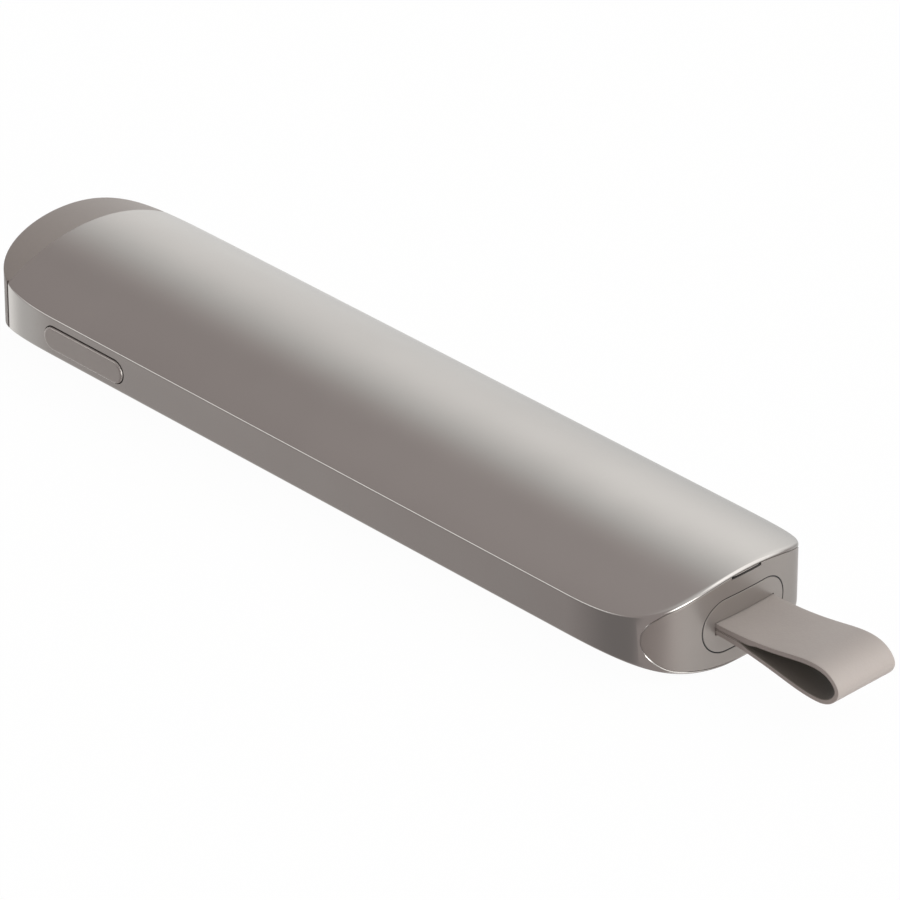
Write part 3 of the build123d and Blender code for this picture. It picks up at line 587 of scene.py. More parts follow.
def turned(bm: Mesh, angle: float, shift: Sequence[float] = (0, 0, 0), axis: str = "Z") -> Mesh:
    """Turns a mesh about an axis, then shifts it.

    Args:
        bm: The mesh, changed in place.
        angle: Angle in degrees.
        shift: Way to shift it after the turn.
        axis: Axis to turn it about.

    Returns:
        The same mesh.
    """
    bmesh.ops.rotate(bm, cent=(0, 0, 0), matrix=Matrix.Rotation(radians(angle), 3, axis),
                     verts=bm.verts)
    bmesh.ops.translate(bm, vec=shift, verts=bm.verts)
    return bm


def halved(bm: Mesh, x: float, keep_tail: bool) -> Mesh:
    """Cuts a closed mesh by a plane across X and closes it again.

    Args:
        bm: The mesh, changed in place.
        x: Place of the plane.
        keep_tail: Whether the part on the strap side stays, and not the other.

    Returns:
        The same mesh.
    """
    made = bmesh.ops.bisect_plane(bm, geom=[*bm.verts, *bm.edges, *bm.faces], dist=ON_PLANE,
                                  plane_co=(x, 0, 0), plane_no=(1, 0, 0),
                                  clear_inner=keep_tail, clear_outer=not keep_tail)
    rim = [e for e in made["geom_cut"] if isinstance(e, bmesh.types.BMEdge) and e.is_boundary]
    bmesh.ops.triangle_fill(bm, use_beauty=True, use_dissolve=True, edges=rim)
    bmesh.ops.recalc_face_normals(bm, faces=bm.faces)
    return bm


@dataclass
class Workshop:
    """Turns meshes in millimetres into finished pieces on their bodies."""

    nodes: dict[str, bpy.types.Object]

    @staticmethod
    def blank(bm: Mesh, name: str) -> bpy.types.Object:
        """Makes a scene object of a mesh.

        Args:
            bm: The mesh, which is freed.
            name: Name of the object.

        Returns:
            The object, with no finish yet.
        """
        mesh = bpy.data.meshes.new(name)
        bm.to_mesh(mesh)
        bm.free()
        piece = bpy.data.objects.new(name, mesh)
        bpy.context.scene.collection.objects.link(piece)
        return piece

    def carve(self, bm: Mesh, *tools: Mesh, way: Carve = Carve.CUT) -> Mesh:
        """Carves a closed shape with others, exactly and one after the other.

        Args:
            bm: Shape to carve; it is used up.
            tools: Closed shapes to carve with; they are used up.
            way: What they do to the shape.

        Returns:
            The carved shape.
        """
        for tool in tools:
            pair = self.blank(bm, "carved"), self.blank(tool, "cutter")
            step = pair[0].modifiers.new(way.value, "BOOLEAN")
            step.object, step.operation, step.solver = pair[1], way.value, "EXACT"
            graph = bpy.context.evaluated_depsgraph_get()
            mesh = bpy.data.meshes.new_from_object(pair[0].evaluated_get(graph))
            bm = bmesh.new()
            bm.from_mesh(mesh)
            for used in (mesh, *[piece.data for piece in pair]):
                bpy.data.meshes.remove(used)
            bmesh.ops.remove_doubles(bm, verts=bm.verts, dist=WELD)
            bmesh.ops.dissolve_degenerate(bm, edges=bm.edges, dist=WELD)
        return bm

    def finish(self, bm: Mesh, name: str, body: Body, finish: Finish, replaces: str = "",
               soften: float = 0.0, sharp: float = 32.0) -> None:
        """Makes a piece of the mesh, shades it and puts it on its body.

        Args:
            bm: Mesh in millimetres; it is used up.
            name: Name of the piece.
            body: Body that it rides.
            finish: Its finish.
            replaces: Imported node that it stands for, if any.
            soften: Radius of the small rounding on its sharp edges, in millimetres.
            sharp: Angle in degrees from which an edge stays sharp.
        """
        bmesh.ops.scale(bm, vec=(MM, MM, MM), verts=bm.verts)
        for face in bm.faces:
            face.smooth = True
        piece = self.blank(bm, name)
        piece.data.set_sharp_from_angle(angle=radians(sharp))
        if soften:
            edge = piece.modifiers.new("soft_edges", "BEVEL")
            edge.width, edge.segments, edge.limit_method = soften * MM, 2, "ANGLE"
            edge.angle_limit, edge.harden_normals = radians(sharp), True
        piece.data.materials.append(finish.material())
        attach(piece, body.value)
        if replaces:
            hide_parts(replaces)
        log.info("%s: %d faces on %s", name, len(piece.data.polygons), body.value)

    def dress(self, finish: Finish, *names: str) -> None:
        """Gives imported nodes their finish, and leaves their shape as it is.

        Args:
            finish: The finish.
            names: Names of the nodes.
        """
        for name in names:
            slots = self.nodes[name].data.materials
            slots.clear()
            slots.append(finish.material())
            log.info("%s: dressed in %s", name, finish.name)


# ------------------------------------------------------------------ the body's form
@dataclass(frozen=True)
class BodyForm:
    """The clicker's outer form, which every outer piece follows."""

    length: float = 125.5
    width: float = 30.0
    band: float = 5.6
    dome_rise: float = 4.5
    belly_depth: float = 2.85
    land: float = 6.0
    end_run: float = 15.8
    fullness: float = 0.834
    wall: float = 1.1
    tail_round: float = 0.52
    side_round: float = 0.26
    tip_round: float = 0.22
    full_round: float = 0.55
    lead_in: float = 0.2
    lead_out: float = 0.25
    near: float = 0.05
    steps: int = 44
    round_steps: int = 8
    halvings: int = 40

    @property
    def straight(self) -> float:
        """Where the straight sides end, from the middle."""
        return self.length / 2 - self.end_run

    @property
    def height(self) -> float:
        """Height over the flat strip that it lies on."""
        return self.belly_depth + self.band + self.dome_rise

    @property
    def dome_radius(self) -> float:
        """Radius of the domed back."""
        return ((self.width / 2) ** 2 + self.dome_rise ** 2) / (2 * self.dome_rise)

    @property
    def belly_centre(self) -> float:
        """Height of the bulge's centre."""
        half, land = self.width / 2, self.land / 2
        return (half ** 2 - land ** 2 + self.belly_depth ** 2) / (2 * self.belly_depth)

    @property
    def belly_radius(self) -> float:
        """Radius of the bulged button side."""
        return sqrt((self.land / 2) ** 2 + self.belly_centre ** 2)

    def dome(self, y: float, inset: float = 0.0) -> float:
        """Height of the domed back at y, drawn in by inset."""
        radius = self.dome_radius
        return self.height - radius + sqrt(max((radius - inset) ** 2 - y ** 2, 0.0))

    def bulge(self, y: float, inset: float = 0.0) -> float:
        """Height of the button side's arc at y, drawn in by inset, without the flat strip."""
        return self.belly_centre - sqrt((self.belly_radius - inset) ** 2 - y ** 2)

    def belly(self, y: float, inset: float = 0.0) -> float:
        """Height of the button side at y, drawn in by inset, with the flat strip."""
        return max(self.bulge(y, inset), inset)

    def quarter(self, t: float, inset: float = 0.0) -> Pair:
        """Point of the outline's end curve, with its run and half width both less the inset.

        Args:
            t: 0 at the straight side, 1 at the end's middle.
            inset: Distance inside the outline.

        Returns:
            Distance from the middle along X and along Y.
        """
        u, full = 1 - t, self.fullness
        along = 3 * u * u * t * full + 3 * u * t * t + t ** 3
        across = u ** 3 + 3 * u * u * t + 3 * u * t * t * full
        return self.straight + (self.end_run - inset) * along, (self.width / 2 - inset) * across

    def outward(self, t: float) -> Pair:
        """Unit normal of the end curve.

        Args:
            t: 0 at the straight side, 1 at the end's middle.

        Returns:
            The normal along X and along Y.
        """
        u, full = 1 - t, self.fullness
        dx = (3 * u * u * full + 6 * u * t * (1 - full)) * self.end_run
        dy = (6 * u * t * (full - 1) - 3 * t * t * full) * self.width / 2
        size = sqrt(dx * dx + dy * dy)
        return -dy / size, dx / size

    def ring_of(self, spot: Callable[[float, bool], Triple]) -> Points:
        """Ring round the whole outline from a spot on one quarter of it.

        Args:
            spot: Gives x, y and z at t, 0 at the straight side and 1 at the end's middle, and
                is told whether that end is the tip.

        Returns:
            The ring's places: round the strap end from +Y to -Y, then back round the tip.
        """
        ends = []
        for tip in (False, True):
            quarter = [spot(i / self.steps, tip) for i in range(self.steps + 1)]
            ends.append(quarter + [(x, -y, z) for x, y, z in reversed(quarter[:-1])])
        return [Vector(p) for p in ends[0] + [(-x, y, z) for x, y, z in reversed(ends[1])]]

    def edge_round(self, t: float, tip: bool) -> float:
        """Radius of the rounded edges along the outline.

        Args:
            t: 0 at the straight side, 1 at the end's middle.
            tip: Whether the end is the tip.

        Returns:
            The radius there.
        """
        share = min(t / self.full_round, 1.0)
        end = self.tip_round if tip else self.tail_round
        return self.side_round + (end - self.side_round) * share * share * (3 - 2 * share)

    def outline(self, inset: float, height: Level) -> Points:
        """Ring round the outline.

        Args:
            inset: Distance inside the outline.
            height: Z at each y.

        Returns:
            The ring's places.
        """
        def spot(t: float, tip: bool) -> Triple:
            """Place on the outline at t."""
            x, y = self.quarter(t, inset)
            return x, y, height(y)

        return self.ring_of(spot)

    def rounding(self, share: float, top: bool, beyond: float = 0.0) -> Points:
        """Ring on the rounded edge between the side wall and the back or the button side.

        Args:
            share: 0 on the side wall, 1 where the rounding meets the back or the button side.
            top: Whether it is the upper edge.
            beyond: Distance past the rounding on the back or the button side, or before it on
                the side wall when it is negative.

        Returns:
            The ring's places.
        """
        surface, way = (self.dome, 1) if top else (self.belly, -1)

        def spot(t: float, tip: bool) -> Triple:
            """Place on the rounded edge.

            Args:
                t: 0 at the straight side, 1 at the end's middle.
                tip: Whether the end is the tip.

            Returns:
                X, y and z of the place.
            """
            (x, y), (nx, ny), r = self.quarter(t), self.outward(t), self.edge_round(t, tip)
            dip = atan(way * (surface(y - self.near * ny) - surface(y)) / self.near)
            turn = (pi / 2 - dip) * share
            inset = r * (1 - cos(turn))
            centre = surface(y) + way * r * (tan(dip) - 1 / cos(dip))
            last = r * (1 - sin(dip))
            slip = surface(y - last * ny) - (centre + way * r * cos(dip))
            z = centre + way * r * sin(turn) + slip * share ** 2
            if beyond > 0:
                inset = last + beyond
                z = surface(y - inset * ny)
            elif beyond < 0:
                inset, z = 0.0, centre + slip * share ** 2 + way * beyond
            return x - inset * nx, y - inset * ny, z

        return self.ring_of(spot)

    def skin(self) -> list[Points]:
        """Rings of the whole outer skin.

        Returns:
            The rings, from the button side over the side wall to the back.
        """
        def edge(top: bool) -> list[Points]:
            """Rings round one of the two edges.

            Args:
                top: Whether it is the upper edge.

            Returns:
                The rings, from the side wall.
            """
            shares = [k / self.round_steps for k in range(self.round_steps + 1)]
            return [self.rounding(0.0, top, -self.lead_in),
                    *[self.rounding(share, top) for share in shares],
                    self.rounding(1.0, top, self.lead_out)]

        return edge(False)[::-1] + edge(True)

    def end_x(self, y: float, inset: float = 0.0) -> float:
        """X of the strap end's wall at y, drawn in by inset.

        Args:
            y: Distance from the middle plane.
            inset: Distance inside the outline.

        Returns:
            The X, found by halving the end curve's span.
        """
        low, high = 0.0, 1.0
        for _ in range(self.halvings):
            mid = (low + high) / 2
            low, high = (mid, high) if self.quarter(mid, inset)[1] > abs(y) else (low, mid)
        return self.quarter((low + high) / 2, inset)[0]

    def by_end(self, offset: float, inset: float = 0.0) -> Level:
        """X at an offset from the strap end's wall, for each y."""
        return lambda y: self.end_x(y, inset) + offset


@dataclass(frozen=True)
class Bar:
    """A bar along X, level with the body's middle, whose outline lies between two heights."""

    half: float
    top: Level
    low: Level
    steps: int = 72
    front_steps: int = 4
    last_ring: float = 0.12

    def ring(self, x: Level, shrink: float = 0.0) -> Points:
        """Ring of the outline, over the top from -Y to +Y and back below.

        Args:
            x: X of the ring at each y.
            shrink: Distance that the outline draws in by.

        Returns:
            The ring's places.
        """
        across = [-self.half * cos(pi * i / self.steps) for i in range(self.steps + 1)]
        places = [Vector((0, y, self.top(y))) for y in across]
        places += [Vector((0, y, self.low(y))) for y in reversed(across)]
        ring = []
        for i, place in enumerate(places):
            along = places[(i + 1) % len(places)] - places[i - 1]
            spot = place + Vector((0, along.z, -along.y)).normalized() * shrink
            spot.x = x(spot.y)
            ring.append(spot)
        return ring

    def solid(self, back: Level, front: Level, round_front: float = 0.0) -> Mesh:
        """Closed bar between two surfaces across X.

        Args:
            back: X of the back at each y.
            front: X of the front at each y.
            round_front: Radius of the front's edge.

        Returns:
            The closed mesh.
        """
        rings, shrink = [self.ring(back)], 0.0
        if round_front:
            rings += [self.ring(lambda y, off=off: front(y) - off, inset)
                      for inset, off in arc(round_front, self.front_steps)]
            shrink = round_front + self.last_ring
        return skinned([*rings, self.ring(front, shrink)])

    def slab(self, back: float, front: float, round_front: float = 0.0) -> Mesh:
        """Closed bar between two planes across X."""
        return self.solid(lambda y: back, lambda y: front, round_front)


def rounded(half: float, radius: float, top: float, low: float) -> Bar:
    """A bar with flat top and bottom and round corners.

    Args:
        half: Half of its width.
        radius: Radius of the corners.
        top: Upper height.
        low: Lower height.

    Returns:
        The bar.
    """
    def drop(y: float) -> float:
        """How far the corner falls away at y."""
        out = max(abs(y) - (half - radius), 0.0)
        return radius - sqrt(max(radius ** 2 - out ** 2, 0.0))

    return Bar(half, lambda y: top - drop(y), lambda y: low + drop(y))


def stadium(width: float, height: float, z: float, grow: float = 0.0) -> Bar:
    """A bar with a stadium outline at height z, grown all round."""
    half = height / 2 + grow
    return rounded(width / 2 + grow, half - HAIR, z + half, z - half)


# ------------------------------------------------------------------ sub-assemblies
@dataclass
class Casing:
    """Back housing, tip cap with its window, and the cover of the button side."""

    form: BodyForm
    cap_wall: float = 1.3
    seam_gap: float = 0.06
    cap_gap: float = 0.01
    cap_joint: Triple = (0.45, 0.35, 10.2)
    joint_steps: int = 400
    seam_x: float = -57.05
    window: Pair = (10.0, 4.4)
    window_gap: float = 0.05
    window_depth: float = 0.9
    window_round: float = 0.08
    window_reach: float = 4.0
    side_reach: float = 3.0
    side_gap: float = 0.13
    side_play: float = 0.05
    lip: float = 0.08
    lip_run: float = 0.4
    lip_steps: int = 4

    def housing(self, shop: Workshop, tail: "TailEnd", keys: "Keys") -> None:
        """Domed back with its side wall, open below, for the tail plate and the side button.

        Args:
            shop: Workshop that finishes the pieces.
            tail: Tail end, which opens the end wall.
            keys: Keys, for the side button's opening.
        """
        form, wall, reach = self.form, self.form.wall, self.side_reach
        ceiling = form.outline(wall, lambda y: form.dome(y, wall))
        shell = skinned([ceiling, form.outline(wall, form.belly), *form.skin()])
        halved(shell, self.seam_x, keep_tail=True)
        pill = stadium(*keys.side_size, keys.side_z, self.side_gap)
        hole = turned(pill.slab(form.width / 2 - reach, form.width / 2 + reach), -90,
                      (keys.side_x + self.side_play, 0, self.side_play))
        shop.finish(shop.carve(shell, tail.opening(), hole), "housing_shell", Body.SHELL,
                    Finishes.HOUSING, "back_housing", soften=0.02)

    def tip(self, shop: Workshop) -> None:
        """Tip cap of another material and the dark window in its end.

        Args:
            shop: Workshop that finishes the pieces.
        """
        form, wall, end, reach = self.form, self.cap_wall, self.form.length / 2, self.window_reach
        room = skinned([form.outline(wall, lambda y: form.belly(y, wall)),
                        form.outline(wall, lambda y: form.dome(y, wall))])
        hole = stadium(*self.window, form.height / 2).slab(end - reach, end + reach)
        cap = shop.carve(skinned(form.skin()), room, turned(hole, 180))
        halved(cap, self.seam_x - self.cap_gap, keep_tail=False)
        run, deep, top = self.cap_joint
        spots = [form.quarter(i / self.joint_steps) for i in range(self.joint_steps + 1)]
        rim = min(spots, key=lambda spot: abs(spot[0] + self.seam_x))[1] - deep
        near, far = self.seam_x - run, self.seam_x + PAST
        cap = shop.carve(cap, *[block((near, low, -PAST), (far, high, top))
                                for low, high in ((-form.width, -rim), (rim, form.width))])
        shop.finish(cap, "tip_cap_shell", Body.SHELL, Finishes.CAP, "tip_cap", soften=0.03)
        pane = stadium(*self.window, form.height / 2, -self.window_gap)
        pane = pane.solid(lambda y: end - self.window_depth, form.end_x, self.window_round)
        shop.finish(turned(pane, 180), "tip_window_pane", Body.SHELL, Finishes.DARK_LENS,
                    "tip_window")

    def cover(self, shop: Workshop, keys: "Keys") -> None:
        """Bulged cover of the button side with its three openings.

        Args:
            shop: Workshop that finishes the pieces.
            keys: Keys, which open the cover.
        """
        form, inset = self.form, self.form.wall + self.seam_gap
        rings = [form.outline(inset, lambda y: form.belly(y) + form.wall)]
        rings += [form.outline(inset + draw, lambda y, up=up: form.belly(y) + up)
                  for draw, up in arc(self.lip, self.lip_steps)]
        panel = skinned([*rings, form.outline(inset + self.lip_run, form.belly)])
        halved(panel, self.seam_x + self.seam_gap, keep_tail=True)
        panel = shop.carve(panel, *[key.opening() for key in keys.all()])
        shop.finish(panel, "button_side_cover", Body.SHELL, Finishes.COVER, "front_cover",
                    soften=0.05)


@dataclass
class TailEnd:
    """Tail plate with its status light and the receiver's outer end."""

    form: BodyForm
    side_rim: float = 1.65
    rim: float = 0.5
    corner: float = 4.3
    seam_gap: float = 0.015
    chamfer: float = 0.12
    bite: float = 0.03
    receiver_z: float = 6.05
    cap_size: Triple = (13.8, 7.2, 6.6)
    pocket_gap: float = 0.19
    # Black piece behind the receiver's gap, as painted shade: its clearance to the receiver and its
    # depth behind the end
    seal_gap: float = 0.03
    seal_back: Pair = (0.05, 1.2)
    light: Pair = (5.1, 0.36)
    light_drop: float = 0.77
    pane_gap: float = 0.04
    through: Pair = (-6.0, 3.0)
    plate_round: float = 0.05
    cap_round: float = 0.03
    pane_back: Pair = (0.1, 2.3)
    slot: Pair = (5.06, 0.91)
    pin: Triple = (59.05, 0.62, 1.44)
    plug: Pair = (6.02, 2.27)

    def plate_bar(self, grow: float) -> Bar:
        """Bar in the plate's outline, level with back and button side.

        Args:
            grow: Distance outside the plate.

        Returns:
            The bar.
        """
        form, half = self.form, self.form.width / 2 - self.side_rim + grow
        rim, corner = self.rim - grow, self.corner + grow
        flat = half - corner
        top_r, low_r = form.dome_radius - rim, form.belly_radius - rim
        top_c = form.dome(0) - form.dome_radius + sqrt((top_r - corner) ** 2 - flat ** 2)
        low_c = form.belly_centre - sqrt((low_r - corner) ** 2 - flat ** 2)

        def edge(y: float, far: float, centre: float, height: Callable, way: int) -> float:
            """Height of the upper or lower edge, with its round corners.

            Args:
                y: Distance from the middle plane.
                far: Radius of the edge's arc.
                centre: Height of the round corners' centre.
                height: Height of the arc at a y and an inset.
                way: 1 for the upper edge, -1 for the lower.

            Returns:
                The height.
            """
            if abs(y) <= flat * far / (far - corner):
                return height(y, rim)
            return centre + way * sqrt(max(corner ** 2 - (abs(y) - flat) ** 2, 0.0))

        return Bar(half, lambda y: edge(y, top_r, top_c, form.dome, 1),
                   lambda y: edge(y, low_r, low_c, form.bulge, -1))

    def opening(self) -> Mesh:
        """Shape that opens the housing's end wall for the plate.

        Returns:
            The closed shape, with a chamfer at its mouth.
        """
        form, chamfer = self.form, self.chamfer
        narrow, wide = (self.plate_bar(self.seam_gap + grow) for grow in (0, 2 * chamfer))
        return skinned([narrow.ring(form.by_end(-self.bite, form.wall)),
                        narrow.ring(form.by_end(-chamfer)), wide.ring(form.by_end(chamfer))])

    def light_bar(self, gap: float = 0.0) -> Bar:
        """Bar in the outline of the light's slit.

        Args:
            gap: Distance inside the outline.

        Returns:
            The bar.
        """
        (wide, high), z = self.light, self.form.height - self.light_drop
        half = high / 2 - gap
        return rounded(wide / 2 - gap, high / 4, z + half, z - half)

    def build(self, shop: Workshop) -> None:
        """Flush end plate with the receiver's mouth, a black piece that paints the shade in the gap
        round it, and the light's slit.

        Args:
            shop: Workshop that finishes the pieces.
        """
        form, gap, (wide, high, _) = self.form, self.pocket_gap, self.cap_size
        through = [form.length / 2 + reach for reach in self.through]

        def pocket(grow: float) -> Bar:
            """Bar in the receiver's outline, grown all round."""
            return stadium(wide, high, self.receiver_z, grow)

        plate = self.plate_bar(0.0).solid(form.by_end(0.0, form.wall), form.end_x,
                                          self.plate_round)
        plate = shop.carve(plate, pocket(gap).slab(*through), self.light_bar().slab(*through))
        shop.finish(plate, "tail_plate_panel", Body.SHELL, Finishes.PLATE, "tail_plate",
                    soften=0.02)
        # Painted shade: a black piece behind the gap round the receiver makes the gap look dark.
        near, far = self.seal_back
        gap_shade = pocket(gap - HAIR).solid(form.by_end(-far), form.by_end(-near))
        gap_shade = shop.carve(gap_shade, pocket(self.seal_gap).slab(*through))
        shop.finish(gap_shade, "pocket_gap_shade", Body.SHELL, Finishes.BLACK)
        near, far = self.pane_back
        pane = self.light_bar(self.pane_gap).solid(
            lambda y: form.length / 2 - far, form.by_end(-near), self.cap_round)
        shop.finish(pane, "status_light_pane", Body.SHELL, Finishes.DARK_LENS, "light_pipe")

    def receiver_end(self, shop: Workshop) -> None:
        """Outer end of the receiver, flush with the plate, with the strap's slot.

        Args:
            shop: Workshop that finishes the pieces.
        """
        (wide, high, deep), z, end = self.cap_size, self.receiver_z, self.form.length / 2
        (half_y, half_z), (pin_x, bore, eye), (plug_y, plug_z) = self.slot, self.pin, self.plug
        back = end - deep
        cap = shop.carve(
            stadium(wide, high, z).solid(lambda y: back, self.form.end_x, self.cap_round),
            block((pin_x, -half_y, z - half_z), (end + 2 * PAST, half_y, z + half_z)),
            rod(eye, half_y, pin_x, z),
            rod(bore, wide / 2 + PAST, pin_x, z),
            block((back - 2 * PAST, -plug_y, z - plug_z), (back + PAST, plug_y, z + plug_z)),
        )
        shop.finish(cap, "receiver_end_cap", Body.RECEIVER, Finishes.PLATE, "receiver_cap",
                    soften=0.015)


@dataclass
class Key:
    """One button of the button side: a cap with rounded edges and a flange inside."""

    body: Body
    x: float
    size: Pair
    corner: float
    form: BodyForm
    dished: bool = False
    gap: float = 0.15
    reach: Pair = (4.0, -2.0)
    recess: float = 0.25
    edge: float = 0.3
    edge_steps: int = 6
    least_corner: float = 0.05
    lip: float = 0.7
    flange: Pair = (2.09, 2.69)
    dish: Pair = (34.0, 0.45)
    dish_blend: float = 0.04
    around: int = 128
    face_rings: tuple[float, ...] = (
        0.93, 0.86, 0.79, 0.72, 0.64, 0.56, 0.48, 0.4, 0.32, 0.24, 0.16, 0.08, 0.02)

    def ring(self, grow: float, height: float | Callable[[float, float], float],
             size: float = 1.0) -> Points:
        """Ring in the key's outline.

        Args:
            grow: Distance outside the outline.
            height: Z, or Z at each x and y from the key's middle.
            size: Scale towards the key's middle.

        Returns:
            The ring's places.
        """
        corner = max(self.corner + grow, self.least_corner)
        half_x, half_y = (long / 2 + grow - corner for long in self.size)
        places, quarter = [], self.around // 4
        for i in range(self.around):
            turn = i // quarter
            a = pi / 2 * (turn + (i % quarter + 0.5) / quarter)
            x = ((1, -1, -1, 1)[turn] * half_x + corner * cos(a)) * size
            y = ((1, 1, -1, -1)[turn] * half_y + corner * sin(a)) * size
            places.append(Vector((self.x + x, y, height(x, y) if callable(height) else height)))
        return places

    def face(self, x: float, y: float) -> float:
        """Height of the key's face, dished or plain.

        Args:
            x: X from the key's middle.
            y: Y from the key's middle.

        Returns:
            The height.
        """
        plain = self.form.bulge(y, self.recess)
        if not self.dished:
            return plain
        radius, depth = self.dish
        low = self.form.bulge(0, self.recess) + depth - radius
        spread = low + sqrt(radius ** 2 - x * x - y * y) - plain
        return plain + (spread + sqrt(spread ** 2 + self.dish_blend ** 2)) / 2

    def opening(self) -> Mesh:
        """Shape that opens the cover for the key."""
        return skinned([self.ring(self.gap, z) for z in self.reach], flat=True)

    def build(self, shop: Workshop) -> None:
        """The key's cap with its flange.

        Args:
            shop: Workshop that finishes the pieces.
        """
        low, high = self.flange
        rings = [self.ring(self.lip, high), self.ring(self.lip, low), self.ring(0.0, low)]
        rings += [self.ring(-draw, lambda x, y, up=up: self.face(x, y) + up)
                  for draw, up in arc(self.edge, self.edge_steps)]
        rings += [self.ring(-self.edge, self.face, size) for size in self.face_rings]
        node = self.body.value
        shop.finish(skinned(rings, flat=True), node + "_cap", self.body, Finishes.BUTTON, node)


@dataclass
class Keys:
    """The three buttons of the button side and the button in the side wall."""

    form: BodyForm
    side_x: float = -41.0
    side_size: Pair = (15.1, 3.3)
    side_z: float = 5.5
    side_proud: float = 0.25
    side_round: float = 0.24
    side_flange: Pair = (13.2, 13.8)
    ear: float = 1.2
    ear_round: float = 0.8
    overlap: float = 0.1

    def all(self) -> list[Key]:
        """The three keys of the button side.

        Returns:
            The keys, from the tip.
        """
        return [
            Key(Body.POINTER, -44.0, (11.5, 11.5), 5.75, self.form),
            Key(Body.NEXT, -26.5, (17.0, 14.5), 6.0, self.form, dished=True),
            Key(Body.BACK, -11.5, (8.0, 14.5), 3.4, self.form),
        ]

    def build(self, shop: Workshop) -> None:
        """All four buttons.

        Args:
            shop: Workshop that finishes the pieces.
        """
        for key in self.all():
            key.build(shop)
        (long, high), z, (near, far) = self.side_size, self.side_z, self.side_flange
        pill = stadium(long, high, z).slab(near + self.overlap,
                                           self.form.width / 2 + self.side_proud, self.side_round)
        half = high / 2 - HAIR
        ear = rounded(long / 2 + self.ear, self.ear_round, z + half, z - half).slab(near, far)
        pill = turned(shop.carve(pill, ear, way=Carve.JOIN), -90, (self.side_x, 0, 0))
        shop.finish(pill, "side_button_pill", Body.SIDE, Finishes.BUTTON, "side_button")


@dataclass
class WristStrap:
    """Flat band folded into a loop, both ends in the receiver's slot."""

    root_x: float
    root_z: float
    inside_x: float = 60.4
    thickness: float = 0.78
    thin: float = 0.68
    width: float = 9.9
    edge: float = 0.09
    edge_steps: int = 5
    rows: tuple[float, ...] = (-0.9, -0.5, 0.0, 0.5, 0.9)
    groove: float = 0.02
    steps: int = 150
    loop: tuple[Pair, ...] = (
        (7.45, 1.23), (11.75, 1.93), (15.6, 2.45), (18.9, 1.65), (20.0, 0.05), (18.65, -2.05),
        (15.9, -2.65), (9.8, -1.85), (5.2, -1.14))
    joined: Pair = (0.13, 0.90)
    blend: float = 0.05
    open_from: float = 0.06
    root_hidden: float = 0.1

    def line(self) -> list[tuple[Vector, Vector, float]]:
        """The band's outer line as a smooth curve through the loop's points.

        Returns:
            Place, unit direction and share of the way, for each step from upper end to lower.
        """
        knots = np.array([(0, self.thickness), *self.loop, (0, -self.thickness)], float)
        chord = np.r_[0, np.cumsum(np.hypot(*np.diff(knots, axis=0).T))]
        count, gap = len(knots), np.diff(chord)
        grid, right = np.zeros((count, count)), np.zeros((count, 2))
        grid[0, 0] = grid[-1, -1] = 1
        right[0], right[-1] = (1, 0), (-1, 0)
        for i in range(1, count - 1):
            grid[i, i - 1:i + 2] = 1 / gap[i - 1], 2 / gap[i - 1] + 2 / gap[i], 1 / gap[i]
            right[i] = (3 * (knots[i] - knots[i - 1]) / gap[i - 1] ** 2
                        + 3 * (knots[i + 1] - knots[i]) / gap[i] ** 2)
        slope = np.linalg.solve(grid, right)
        found = []
        for share in (step / self.steps for step in range(self.steps + 1)):
            at = share * chord[-1]
            i = min(int(np.searchsorted(chord, at, "right")) - 1, count - 2)
            h, u = gap[i], (at - chord[i]) / gap[i]
            (x, z) = ((1 + 2 * u) * (1 - u) ** 2 * knots[i] + u * (1 - u) ** 2 * h * slope[i]
                      + u * u * (3 - 2 * u) * knots[i + 1] + u * u * (u - 1) * h * slope[i + 1])
            (dx, dz) = (6 * u * (u - 1) * (knots[i] - knots[i + 1]) / h
                        + (1 - u) * (1 - 3 * u) * slope[i] + u * (3 * u - 2) * slope[i + 1])
            found.append((Vector((self.root_x + x, 0, self.root_z + z)),
                          Vector((dx, 0, dz)).normalized(), share))
        return found

    def profile(self, shrink: float) -> tuple[Points, Points]:
        """Side line of the band.

        Args:
            shrink: Distance that its outer and inner line draw in by, for the rounded edges.

        Returns:
            Places of the outer line, out from the slot, and of the inner line, back to it.
        """
        outer, inner = [], []
        for place, along, share in self.line():
            apart = 1.0
            for way in (share - self.joined[0], self.joined[1] - share):
                apart *= min(max(way / self.blend + 0.5, 0.0), 1.0)
            apart = apart * apart * (3 - 2 * apart)
            inward = Vector((along.z, 0, -along.x))
            side = 1 if share < 0.5 else -1
            middle = Vector((place.x, 0, self.root_z + self.groove * side))
            free = place + inward * (self.thickness + (self.thin - self.thickness) * apart)
            back = middle.lerp(free, apart)
            out = (back - place).normalized()
            outer.append(place + out * shrink)
            inner.append(back - out * shrink)
        for chain in (outer, inner):
            chain.insert(0, Vector((self.inside_x, 0, chain[0].z)))
            chain.append(Vector((self.inside_x, 0, chain[-1].z)))
        return outer, inner[::-1]

    def build(self, shop: Workshop) -> None:
        """The band with softly rounded edges, its inside and its root marked for painted shade.

        Args:
            shop: Workshop that finishes the pieces.
        """
        half, edges = self.width / 2, arc(self.edge, self.edge_steps)
        ways = [(depth - half, shrink) for shrink, depth in reversed(edges)]
        ways += [(share * half, 0.0) for share in self.rows]
        ways += [(half - depth, shrink) for shrink, depth in edges]
        rings, inside = [], set()
        for y, shrink in ways:
            outer, inner = self.profile(shrink)
            rings.append([Vector((p.x, y, p.z)) for p in outer + inner])
            inside |= {(p.x, p.z) for p in inner if abs(p.z - self.root_z) > self.open_from}
        band = skinned(rings)
        # Painted shade goes on the inside of the loop and on the part hidden in the slot.
        layer = band.verts.layers.float.new("lining")
        for vert in band.verts:
            root = vert.co.x < self.root_x - self.root_hidden
            vert[layer] = float(root or (vert.co.x, vert.co.z) in inside)
        shop.finish(band, "wrist_strap_band", Body.RECEIVER, Finishes.STRAP, "wrist_strap",
                    sharp=50.0)


